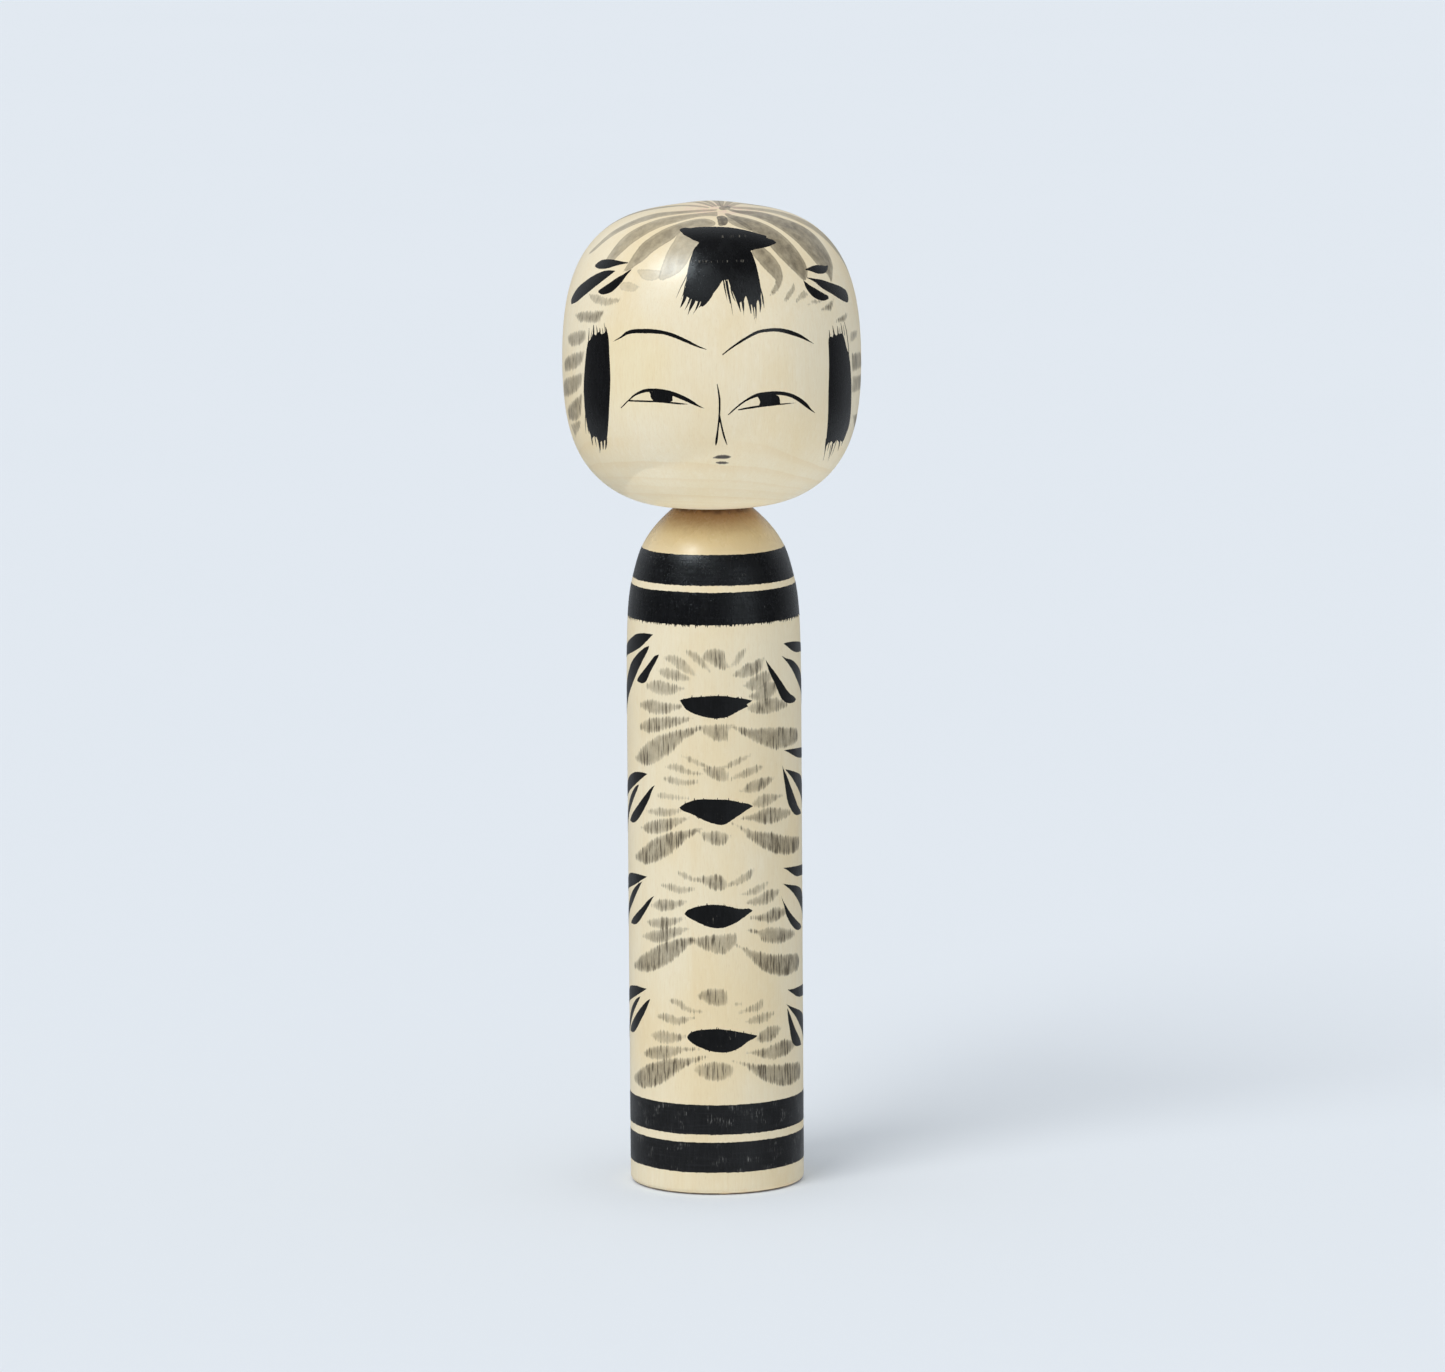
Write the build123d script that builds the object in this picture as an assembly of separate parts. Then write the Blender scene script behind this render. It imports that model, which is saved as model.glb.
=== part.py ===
from build123d import *

import os

# Kokeshi doll: a turned wooden body, a turned wooden head and the round peg that joins them.
#
# Frame: millimetres, +Z up, origin at the centre of the base's underside, the doll faces -Y.
# Each piece is a turning, so each is one profile revolved about Z.
#
#   body      cylinder with a domed shoulder, a flat land on top and a blind socket for the peg
#   neck_peg  hardwood peg, glued into the head, turning stiffly in the body's socket
#   head      rounded block head, flat seat underneath and a blind hole for the peg


# ---- overall ---------------------------------------------------------------
HEIGHT = 180.0  # six sun, base to crown

# ---- body ------------------------------------------------------------------
BODY_R = 15.9  # straight part
BASE_EDGE = 1.0  # radius of the rounded edge at the foot
SHOULDER_Z = 90.0  # where the straight side starts to lean in
SHOULDER_TOP_Z = 125.0  # land that the head sits over
LAND_R = 6.2
# Bezier poles (r, z) of the shoulder, from the straight side up to the land.
SHOULDER = [
    (BODY_R, SHOULDER_Z),
    (BODY_R, 115.859),
    (14.901, 109.345),
    (12.654, 113.830),
    (16.596, 116.625),
    (LAND_R, SHOULDER_TOP_Z),
]

# ---- neck peg and its two holes --------------------------------------------
PEG_R = 5.0
PEG_CHAMFER = 0.7
PEG_IN_BODY = 16.0
PEG_IN_HEAD = 17.0
SOCKET_CLEARANCE = 0.04  # radial, peg in the body: a tight running fit
SOCKET_END_GAP = 1.5  # left under the peg for the drill's point
HOLE_END_GAP = 0.8  # glue space over the peg
MOUTH_CHAMFER = 0.4
DRILL_POINT = 1.6  # depth of the conical end of each hole

# ---- head ------------------------------------------------------------------
SEAT_GAP = 0.05  # between the head's seat and the body's land
HEAD_SEAT_Z = SHOULDER_TOP_Z + SEAT_GAP
HEAD_SEAT_R = 8.6
# Bezier poles (r, z) of the head, from the crown round to the edge of the seat.
HEAD = [
    (0.0, HEIGHT),
    (10.882, HEIGHT),
    (12.294, 174.434),
    (15.668, 186.037),
    (40.709, 167.584),
    (23.328, 157.635),
    (22.315, 149.959),
    (35.660, 141.093),
    (24.021, HEAD_SEAT_Z),
    (HEAD_SEAT_R, HEAD_SEAT_Z),
]


def line(a, b):
    """A straight profile edge between two (r, z) points."""
    return Edge.make_line((a[0], 0, a[1]), (b[0], 0, b[1]))


def curve(poles):
    """A Bezier profile edge through its end poles (r, z)."""
    return Edge.make_bezier(*[(r, 0, z) for r, z in poles])


def turned(edges):
    """The closed profile in the XZ plane, revolved a full turn about Z."""
    face = Face(Wire(edges))
    return Solid.revolve(face, 360.0, Axis.Z)


def chain(points):
    return [line(a, b) for a, b in zip(points, points[1:])]


# ---- body: foot, side, shoulder, land, socket --------------------------------
socket_r = PEG_R + SOCKET_CLEARANCE
socket_floor = SHOULDER_TOP_Z - PEG_IN_BODY - SOCKET_END_GAP
body = turned(
    chain(
        [
            (0, 0),
            (BODY_R - BASE_EDGE, 0),
        ]
    )
    + [
        curve(
            [
                (BODY_R - BASE_EDGE, 0),
                (BODY_R - BASE_EDGE * 0.4477, 0),
                (BODY_R, BASE_EDGE * 0.4477),
                (BODY_R, BASE_EDGE),
            ]
        ),
    ]
    + chain([(BODY_R, BASE_EDGE), (BODY_R, SHOULDER_Z)])
    + [curve(SHOULDER)]
    + chain(
        [
            (LAND_R, SHOULDER_TOP_Z),
            (socket_r + MOUTH_CHAMFER, SHOULDER_TOP_Z),
            (socket_r, SHOULDER_TOP_Z - MOUTH_CHAMFER),
            (socket_r, socket_floor),
            (0, socket_floor - DRILL_POINT),
            (0, 0),
        ]
    )
)

# ---- neck peg ----------------------------------------------------------------
peg_low = SHOULDER_TOP_Z - PEG_IN_BODY
peg_high = HEAD_SEAT_Z + PEG_IN_HEAD
neck_peg = turned(
    chain(
        [
            (0, peg_low),
            (PEG_R - PEG_CHAMFER, peg_low),
            (PEG_R, peg_low + PEG_CHAMFER),
            (PEG_R, peg_high - PEG_CHAMFER),
            (PEG_R - PEG_CHAMFER, peg_high),
            (0, peg_high),
            (0, peg_low),
        ]
    )
)

# ---- head: crown, cheek, seat, blind hole --------------------------------------
hole_top = peg_high + HOLE_END_GAP
head = turned(
    [curve(HEAD)]
    + chain(
        [
            (HEAD_SEAT_R, HEAD_SEAT_Z),
            (PEG_R + MOUTH_CHAMFER, HEAD_SEAT_Z),
            (PEG_R, HEAD_SEAT_Z + MOUTH_CHAMFER),
            (PEG_R, hole_top),
            (0, hole_top + DRILL_POINT),
            (0, HEIGHT),
        ]
    )
)

parts = {"body": body, "neck_peg": neck_peg, "head": head}

os.makedirs("parts", exist_ok=True)
for name, shape in parts.items():
    shape.label = name
    export_step(shape, os.path.join("parts", name + ".step"))
    box = shape.bounding_box()
    print(name, "volume", round(shape.volume, 1), "size", box.size, "z", round(box.min.Z, 3), round(box.max.Z, 3))
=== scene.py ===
"""Kokeshi doll: turned wood, hand-brushed ink, wax. Metres in Blender, millimetres in the tables below.

The doll faces -Y. A place on the head is (theta, s): degrees round from the front, and the distance in
millimetres down the surface from the crown. A place on the body is (theta, z).
"""

import math

import bpy
import numpy as np
from mathutils import Matrix, Vector


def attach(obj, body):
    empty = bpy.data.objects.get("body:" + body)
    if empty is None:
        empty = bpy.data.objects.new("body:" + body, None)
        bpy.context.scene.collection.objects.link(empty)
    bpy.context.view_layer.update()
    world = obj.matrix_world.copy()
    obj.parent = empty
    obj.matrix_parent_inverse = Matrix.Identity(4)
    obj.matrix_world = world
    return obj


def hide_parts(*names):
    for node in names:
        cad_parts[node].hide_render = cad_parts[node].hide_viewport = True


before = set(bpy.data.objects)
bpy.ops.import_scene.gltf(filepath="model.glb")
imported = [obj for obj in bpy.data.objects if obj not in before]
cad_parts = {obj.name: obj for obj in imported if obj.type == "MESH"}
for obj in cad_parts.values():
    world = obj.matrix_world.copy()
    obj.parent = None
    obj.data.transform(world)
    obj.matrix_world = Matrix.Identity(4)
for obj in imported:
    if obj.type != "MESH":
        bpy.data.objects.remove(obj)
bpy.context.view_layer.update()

MM = 0.001
scene = bpy.context.scene

# ============================================================================================
# Camera: 1.47 m in front, a little above, a long lens
# ============================================================================================
CAM_DISTANCE = 1474.36
CAM_HEIGHT = 312.11
CAM_DOWN = math.radians(8.514)
CAM_ROLL = math.radians(-0.3989)
CAM_YAW = 8.505 / 8177.56
CAM_LENS = 203.73

right = Vector((1, 0, 0))
fwd = Vector((0, math.cos(CAM_DOWN), -math.sin(CAM_DOWN)))
up = right.cross(fwd)
cr, sr = math.cos(CAM_ROLL), math.sin(CAM_ROLL)
cam_right = cr * right + sr * up
cam_up = -sr * right + cr * up
fwd, cam_right = (fwd + CAM_YAW * cam_right).normalized(), (cam_right - CAM_YAW * fwd).normalized()
cam_up = cam_right.cross(fwd)
camera = bpy.data.objects.new("camera", bpy.data.cameras.new("camera"))
scene.collection.objects.link(camera)
camera.data.lens = CAM_LENS
camera.data.sensor_width = 36.0
camera.data.clip_start = 0.05
camera.data.clip_end = 60.0
turn = Matrix((cam_right, cam_up, -fwd)).transposed().to_4x4()
camera.matrix_world = Matrix.Translation((0, -CAM_DISTANCE * MM, CAM_HEIGHT * MM)) @ turn
scene.camera = camera

# ============================================================================================
# The turned shapes
# ============================================================================================
HEIGHT = 180.0
BODY_R = 15.9
BASE_EDGE = 1.0
LAND_R, LAND_Z = 6.2, 125.0
SEAT_R, SEAT_Z = 8.6, 125.05
PEG_R = 5.0
SOCKET_R = 5.04

HEAD_POLES = [
    (0.0, 180.0), (10.882, 180.0), (12.294, 174.434), (15.668, 186.037), (40.709, 167.584),
    (23.328, 157.635), (22.315, 149.959), (35.660, 141.093), (24.021, SEAT_Z), (SEAT_R, SEAT_Z),
]
SHOULDER_POLES = [
    (BODY_R, 90.0), (BODY_R, 115.859), (14.901, 109.345), (12.654, 113.830), (16.596, 116.625),
    (LAND_R, LAND_Z),
]


def bezier(poles, u):
    poles = np.array(poles, float)
    n = len(poles) - 1
    u = np.asarray(u, float)[:, None]
    return sum(math.comb(n, k) * u**k * (1 - u) ** (n - k) * poles[k] for k in range(n + 1))


class Profile:
    """An outline (r, z) that can be read at any distance along it."""

    def __init__(self, points, start):
        self.p = np.asarray(points, float)
        step = np.hypot(*np.diff(self.p, axis=0).T)
        self.s = start + np.concatenate([[0], np.cumsum(step)])
        t = np.gradient(self.p, self.s, axis=0)
        t /= np.linalg.norm(t, axis=1)[:, None]
        self.t = t

    def at(self, s):
        return np.interp(s, self.s, self.p[:, 0]), np.interp(s, self.s, self.p[:, 1])

    def place(self, theta, s, lift=0.0):
        """Points in mm, lifted off the surface by lift mm."""
        r, z = self.at(s)
        tr, tz = np.interp(s, self.s, self.t[:, 0]), np.interp(s, self.s, self.t[:, 1])
        nr, nz = self.side * -tz, self.side * tr
        th = np.radians(theta)
        r = r + lift * nr
        return np.stack([r * np.sin(th), -r * np.cos(th), z + lift * nz], -1)

    def normal(self, theta, s):
        tr, tz = np.interp(s, self.s, self.t[:, 0]), np.interp(s, self.s, self.t[:, 1])
        th = np.radians(theta)
        nr, nz = self.side * -tz, self.side * tr
        return np.stack([nr * np.sin(th), -nr * np.cos(th), nz], -1)


# head: s runs from the crown down to the edge of the seat
HEAD = Profile(bezier(HEAD_POLES, np.linspace(0, 1, 4001)), 0.0)
HEAD.side = 1.0
HEAD_END = float(HEAD.s[-1])
# body: z doubles as the distance on the straight side; a table takes z to the arc for the shoulder
_side = np.array([(BODY_R, z) for z in np.linspace(0, 90, 200)])[:-1]
_arc = np.concatenate([_side, bezier(SHOULDER_POLES, np.linspace(0, 1, 2001))])
BODY = Profile(_arc, 0.0)
BODY.side = -1.0
BODY_END = float(BODY.s[-1])


def body_s(z):
    return np.interp(z, BODY.p[:, 1], BODY.s)


# ============================================================================================
# Brushwork. (theta, s or z, half-width) is a stroke; (theta, s or z) an outline
# ============================================================================================
BROWS = [
    [(-40.8, 40.51, 0.06), (-37.4, 39.71, 0.16), (-34.4, 38.83, 0.31), (-31.5, 38.45, 0.39), (-27.7, 38.32, 0.41), (-23.1, 38.28, 0.41), (-18.6, 38.45, 0.34), (-14.3, 38.98, 0.35), (-9.2, 39.95, 0.29), (-5.1, 40.82, 0.17), (-1.9, 41.36, 0.06)],
    [(4.2, 42.27, 0.12), (7.3, 41.17, 0.17), (12.3, 39.7, 0.25), (17.6, 38.51, 0.29), (22, 38.21, 0.31), (26.6, 38.27, 0.35), (31.2, 38.78, 0.4), (36.1, 39.63, 0.32), (40.2, 40.62, 0.15), (42.6, 41.21, 0.05)],
]

EYES = [
    [(-37.2, 52.3, 0.12), (-33.4, 50.81, 0.14), (-30.4, 49.75, 0.2), (-26.6, 49.01, 0.31), (-23, 48.78, 0.31), (-19.4, 48.87, 0.35), (-15.2, 49.29, 0.4), (-11, 50.04, 0.4), (-7.7, 50.8, 0.32), (-5.2, 51.46, 0.16), (-2.8, 51.93, 0.05)],
    [(-33.4, 50.93, 0.16), (-27.7, 50.87, 0.17), (-21.3, 50.82, 0.17), (-16.1, 50.95, 0.18), (-11.9, 51.1, 0.15), (-8.9, 51.16, 0.04)],
    [(-24.5, 49.16), (-19.4, 48.88), (-14.5, 49.28), (-15.2, 49.96), (-14.9, 50.58), (-16.1, 50.86), (-20.4, 50.89), (-23.1, 50.7), (-24.1, 50.02), (-23.9, 49.62)],
    [(6.3, 53.07, 0.12), (9.2, 51.85, 0.16), (13, 50.57, 0.2), (17.2, 49.74, 0.32), (21.6, 49.52, 0.36), (26.1, 49.55, 0.35), (30.8, 50, 0.35), (34.8, 50.87, 0.39), (38.5, 52.03, 0.37), (41.4, 53.08, 0.17), (43.8, 53.77, 0.05)],
    [(10.1, 52.25, 0.12), (13.8, 51.99, 0.2), (19, 51.73, 0.2), (24.3, 51.62, 0.16), (29, 51.56, 0.13), (33.8, 51.55, 0.05)],
    [(17.5, 50.02), (22.5, 49.66), (26.6, 49.96), (26.9, 51.57), (22.5, 51.78), (18.1, 51.6), (18.7, 50.9)],
]

NOSE = [
    [(2, 47.57, 0.1), (2.6, 49.24, 0.17), (2.9, 51.01, 0.19), (2.7, 53.37, 0.17), (2.2, 55.76, 0.17), (1.6, 57.99, 0.23), (1.4, 58.7, 0.1)],
    [(2.8, 53.17, 0.15), (3.7, 55.37, 0.16), (4.7, 57.19, 0.18), (5.8, 58.64, 0.09)],
]

MOUTH = [
    [(0.5, 61.22, 0.13), (2.2, 61.09, 0.35), (4.4, 61.06, 0.44), (6.3, 61.08, 0.35), (7.4, 61.09, 0.13)],
    [(1.6, 62.2, 0.13), (3.1, 62.26, 0.31), (4.9, 62.27, 0.31), (6.6, 62.33, 0.13)],
]

FRINGE = [
    [(-19.46, 17.73), (-18.28, 17.15), (-16.25, 16.91), (-14.58, 16.99), (-12.78, 17.13), (-9.92, 16.81), (-6.29, 16.65), (-2.61, 16.6), (1.6, 16.58), (4.76, 16.63), (7.9, 16.71), (10.99, 16.87), (13.99, 17.11), (16.41, 17.36), (18.26, 17.64), (20.13, 17.86), (21.94, 18.13), (23.66, 18.44), (25.15, 18.72), (26.62, 19), (28.31, 19.3), (29.76, 19.57), (31.28, 19.79), (31.59, 20.05), (30.84, 20.31), (31.71, 20.57), (32.96, 20.77), (34.32, 20.99), (34.78, 21.37), (35.04, 21.82), (33.34, 22.03), (31.53, 22.22), (29.82, 22.45), (27.77, 22.62), (26.07, 22.74), (24.43, 22.81), (22.8, 22.93), (21.24, 23), (19.6, 23.21), (18.01, 23.39), (11.3, 23.84), (3.44, 23.77), (-3.68, 22.84), (-6.01, 21.2), (-6.72, 20.9), (-8.07, 20.73), (-9.23, 20.55), (-10.63, 20.17), (-12.01, 19.86), (-13.41, 19.57), (-14.64, 19.34), (-15.64, 19.07), (-16.46, 18.62), (-17.59, 18.34)],
    [(-5.83, 21), (-6.71, 21.5), (-7.27, 21.98), (-8.16, 22.39), (-8.59, 22.94), (-8.94, 23.58), (-9.22, 24.2), (-9.54, 24.81), (-9.84, 25.5), (-9.99, 26.15), (-10.19, 26.81), (-10.31, 27.46), (-10.34, 28.1), (-10.38, 28.73), (-10.51, 29.19), (-10.63, 29.81), (-10.65, 30.43), (-10.69, 30.96), (-10.74, 31.65), (-9.55, 32.02), (-8.79, 32.23), (-7.91, 32.38), (-6.99, 32.54), (-5.82, 32.75), (-4.65, 32.83), (-3.5, 32.83), (-2.34, 32.71), (-1.35, 32.38), (-0.45, 32), (0.43, 31.55), (1.24, 31.15), (1.93, 30.81), (2.56, 30.45), (3.19, 30.05), (3.77, 29.66), (4.21, 29.33), (4.65, 29.02), (5.07, 28.98), (5.6, 28.93), (6.47, 28.93), (7.05, 28.84), (7.35, 29.23), (7.63, 29.69), (7.91, 30.19), (8.27, 30.62), (8.61, 31.16), (9.03, 31.61), (9.59, 32.03), (10.08, 32.38), (10.69, 32.91), (11.34, 33.1), (11.93, 32.93), (12.35, 33.09), (12.84, 33.23), (13.23, 32.64), (13.57, 32.2), (14.02, 31.98), (14.38, 32.51), (14.72, 33.11), (15.33, 33.57), (16.02, 33.52), (16.48, 33.67), (17.03, 34.04), (17.71, 34.06), (18.19, 33.33), (18.56, 32.88), (18.94, 32.74), (19.19, 33.19), (19.58, 33.34), (20.09, 32.6), (20.42, 31.86), (20.59, 31.25), (20.6, 30.49), (20.58, 29.64), (20.57, 28.86), (20.5, 28.07), (20.47, 27.27), (20.42, 26.54), (20.29, 25.87), (20.09, 25.19), (19.92, 24.5), (19.72, 23.88), (19.42, 23.15), (11.95, 22.18), (1.67, 21.11)],
    [(-10.37, 27.93, 0.081), (-11.02, 28.73, 0.087), (-11.91, 29.66, 0.084), (-12.81, 30.6, 0.08), (-14.25, 32.32, 0.045)],
    [(-10.3, 29.19, 0.096), (-10.82, 29.96, 0.089), (-11.27, 31.19, 0.078), (-12.23, 32.7, 0.045)],
    [(-10.62, 30.43, 0.141), (-10.76, 31.49, 0.232), (-10.93, 32.39, 0.247), (-11.48, 33.01, 0.171), (-12.28, 33.95, 0.055)],
    [(-10.21, 31.49, 0.246), (-10.54, 32.24, 0.237), (-11.08, 32.93, 0.168), (-11.88, 33.77, 0.045)],
    [(-8.14, 31.94, 0.216), (-8.75, 32.68, 0.188), (-9.43, 33.44, 0.114), (-10.44, 34.33, 0.045)],
    [(-7.31, 32.23, 0.216), (-7.67, 32.98, 0.248), (-8.15, 33.73, 0.213), (-8.64, 34.4, 0.116), (-9.21, 35.25, 0.045)],
    [(-6.5, 32.38, 0.216), (-6.97, 32.98, 0.204), (-7.5, 33.58, 0.132), (-8.33, 34.4, 0.055)],
    [(-4.76, 32.52, 0.246), (-5.07, 33.13, 0.216), (-5.71, 33.87, 0.161), (-6.41, 34.47, 0.08), (-7.25, 35.13, 0.041)],
    [(-3.17, 32.52, 0.331), (-3.56, 32.98, 0.3), (-4.08, 33.42, 0.195), (-4.79, 33.87, 0.06)],
    [(-1.85, 32.23, 0.361), (-2.5, 32.83, 0.3), (-3.22, 33.27, 0.195), (-3.94, 33.76, 0.06)],
    [(0.16, 31.48, 0.27), (-0.85, 32.23, 0.24), (-1.84, 32.9, 0.165), (-2.83, 33.42, 0.105), (-3.81, 33.8, 0.045)],
    [(5.15, 28.89, 0.126), (5.35, 29.68, 0.151), (5.61, 30.6, 0.144), (5.88, 31.36, 0.098), (6.36, 32.75, 0.045)],
    [(6.06, 28.91, 0.126), (6.35, 29.99, 0.151), (6.65, 31.07, 0.127), (6.97, 31.98, 0.098), (7.45, 33.18, 0.065)],
    [(6.67, 29.06, 0.111), (6.99, 30.45, 0.101), (7.38, 31.82, 0.107), (7.74, 33.03, 0.095), (7.99, 33.94, 0.072), (8.41, 35.43, 0.041)],
    [(8.03, 30.31, 0.126), (8.33, 31.23, 0.138), (8.84, 32.07, 0.114), (9.51, 32.83, 0.055)],
    [(9.73, 31.7, 0.246), (10.31, 32.46, 0.264), (10.79, 33.21, 0.23), (11.14, 33.96, 0.135), (11.53, 34.82, 0.055)],
    [(12.36, 32.34, 0.3), (12.57, 33.23, 0.27), (12.64, 33.99, 0.195), (12.68, 34.73, 0.09), (12.65, 35.7, 0.03)],
    [(14.92, 32.36, 0.216), (15.2, 33.13, 0.237), (15.42, 33.87, 0.204), (15.64, 35.06, 0.084)],
    [(16.41, 32.7, 0.216), (16.51, 33.45, 0.216), (16.66, 34.19, 0.144), (16.77, 35.09, 0.08), (16.85, 36.3, 0.045)],
    [(17.56, 33.01, 0.27), (17.67, 33.91, 0.21), (17.66, 34.81, 0.15), (17.53, 35.7, 0.105), (17.37, 36.43, 0.06), (17.27, 37.06, 0.03)],
    [(19.67, 32.15, 0.246), (19.71, 33.05, 0.248), (19.7, 33.8, 0.196), (19.54, 34.25, 0.153), (19.33, 34.94, 0.065)],
    [(20.48, 30.64, 0.111), (20.79, 31.55, 0.135), (21.02, 32.32, 0.127), (21.05, 33.07, 0.116), (21.17, 34.18, 0.055)],
    [(20.59, 31.25, 0.066), (20.69, 32.47, 0.067), (20.71, 33.62, 0.045)],
]

LOCK_LEFT = [
    [(-54.3, 40.79), (-53.22, 40.22), (-52.6, 39.46), (-51.73, 39.38), (-50.92, 39.68), (-50.21, 39.58), (-49.34, 39.12), (-48.42, 38.98), (-47.67, 39.24), (-47.07, 39.39), (-46.31, 39.24), (-45.67, 39.1), (-45.07, 38.76), (-44.43, 38.7), (-43.94, 39), (-43.55, 39.42), (-43.19, 40.05), (-42.94, 40.74), (-42.76, 41.55), (-42.64, 42.44), (-42.44, 43.33), (-42.26, 44.22), (-42.15, 45.12), (-42.06, 46.01), (-41.99, 46.91), (-42.05, 47.98), (-42.23, 48.9), (-42.43, 49.81), (-42.73, 50.9), (-43.04, 51.82), (-43.39, 52.75), (-43.72, 53.67), (-44.1, 54.6), (-44.64, 55.54), (-45.2, 56.5), (-45.9, 57.46), (-46.82, 58.35), (-47.89, 58.87), (-48.37, 58.7), (-49.3, 59.11), (-50.11, 59.19), (-50.74, 59.02), (-51.77, 59.33), (-52.6, 59.36), (-53.28, 58.9), (-53.64, 58.35), (-54.43, 58.47), (-54.91, 58.21), (-56.31, 58.66), (-57.3, 58.61), (-57.62, 58.05), (-57.98, 57.5), (-58.3, 56.96), (-58.59, 56.31), (-58.8, 55.57), (-58.92, 54.75), (-58.91, 53.83), (-58.82, 52.91), (-58.76, 51.9), (-58.67, 50.8), (-58.57, 49.71), (-58.3, 48.62), (-57.95, 47.51), (-57.57, 46.42), (-57.25, 45.41), (-56.9, 44.4), (-56.52, 43.4), (-56.18, 42.48), (-55.8, 41.66), (-55.35, 40.96)],
    [(-54.92, 41.09, 0.132), (-54.93, 40.27, 0.145), (-54.98, 39.48, 0.114), (-55.17, 38.58, 0.065)],
    [(-53.6, 41.03, 0.114), (-53.5, 40.13, 0.105), (-53.37, 39.51, 0.092), (-53.03, 38.8, 0.053)],
    [(-51.81, 40.25, 0.222), (-51.95, 39.53, 0.244), (-52.09, 38.91, 0.222), (-52.34, 37.98, 0.1)],
    [(-49.8, 39.82, 0.186), (-49.82, 39.1, 0.164), (-50.19, 38.57, 0.114), (-50.62, 37.99, 0.053)],
    [(-48.11, 39.39, 0.186), (-48.22, 38.87, 0.172), (-48.46, 38.36, 0.076)],
    [(-46.39, 39.44, 0.114), (-46.62, 38.81, 0.099), (-47.01, 38.25, 0.053)],
    [(-45.22, 39.12, 0.132), (-45.47, 38.42, 0.105), (-45.82, 37.88, 0.082), (-46.24, 37.34, 0.048)],
    [(-44.32, 39.27, 0.168), (-44.65, 38.66, 0.172), (-45.17, 38.06, 0.076)],
    [(-58.85, 54.48, 0.114), (-59.6, 55.62, 0.125), (-60.21, 56.56, 0.114), (-60.94, 58.1, 0.053)],
    [(-58.33, 55.93, 0.186), (-58.39, 56.87, 0.192), (-58.4, 58.02, 0.065)],
    [(-56.74, 57.15, 0.331), (-57.02, 58.3, 0.283), (-57.43, 59.19, 0.2), (-57.92, 60.26, 0.076)],
    [(-54.31, 57.8, 0.168), (-54.69, 58.78, 0.164), (-54.91, 59.45, 0.114), (-55.18, 60.32, 0.053)],
    [(-51.99, 58.47, 0.397), (-52.41, 59.45, 0.361), (-52.91, 60.25, 0.234), (-53.44, 60.87, 0.126), (-54.49, 61.55, 0.036)],
    [(-49.36, 58.35, 0.313), (-49.97, 59.34, 0.283), (-50.43, 59.94, 0.2), (-51.05, 60.6, 0.1)],
    [(-47.13, 58.08, 0.258), (-47.78, 59.05, 0.263), (-48.44, 59.76, 0.222), (-49.38, 60.54, 0.088)],
]

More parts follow.
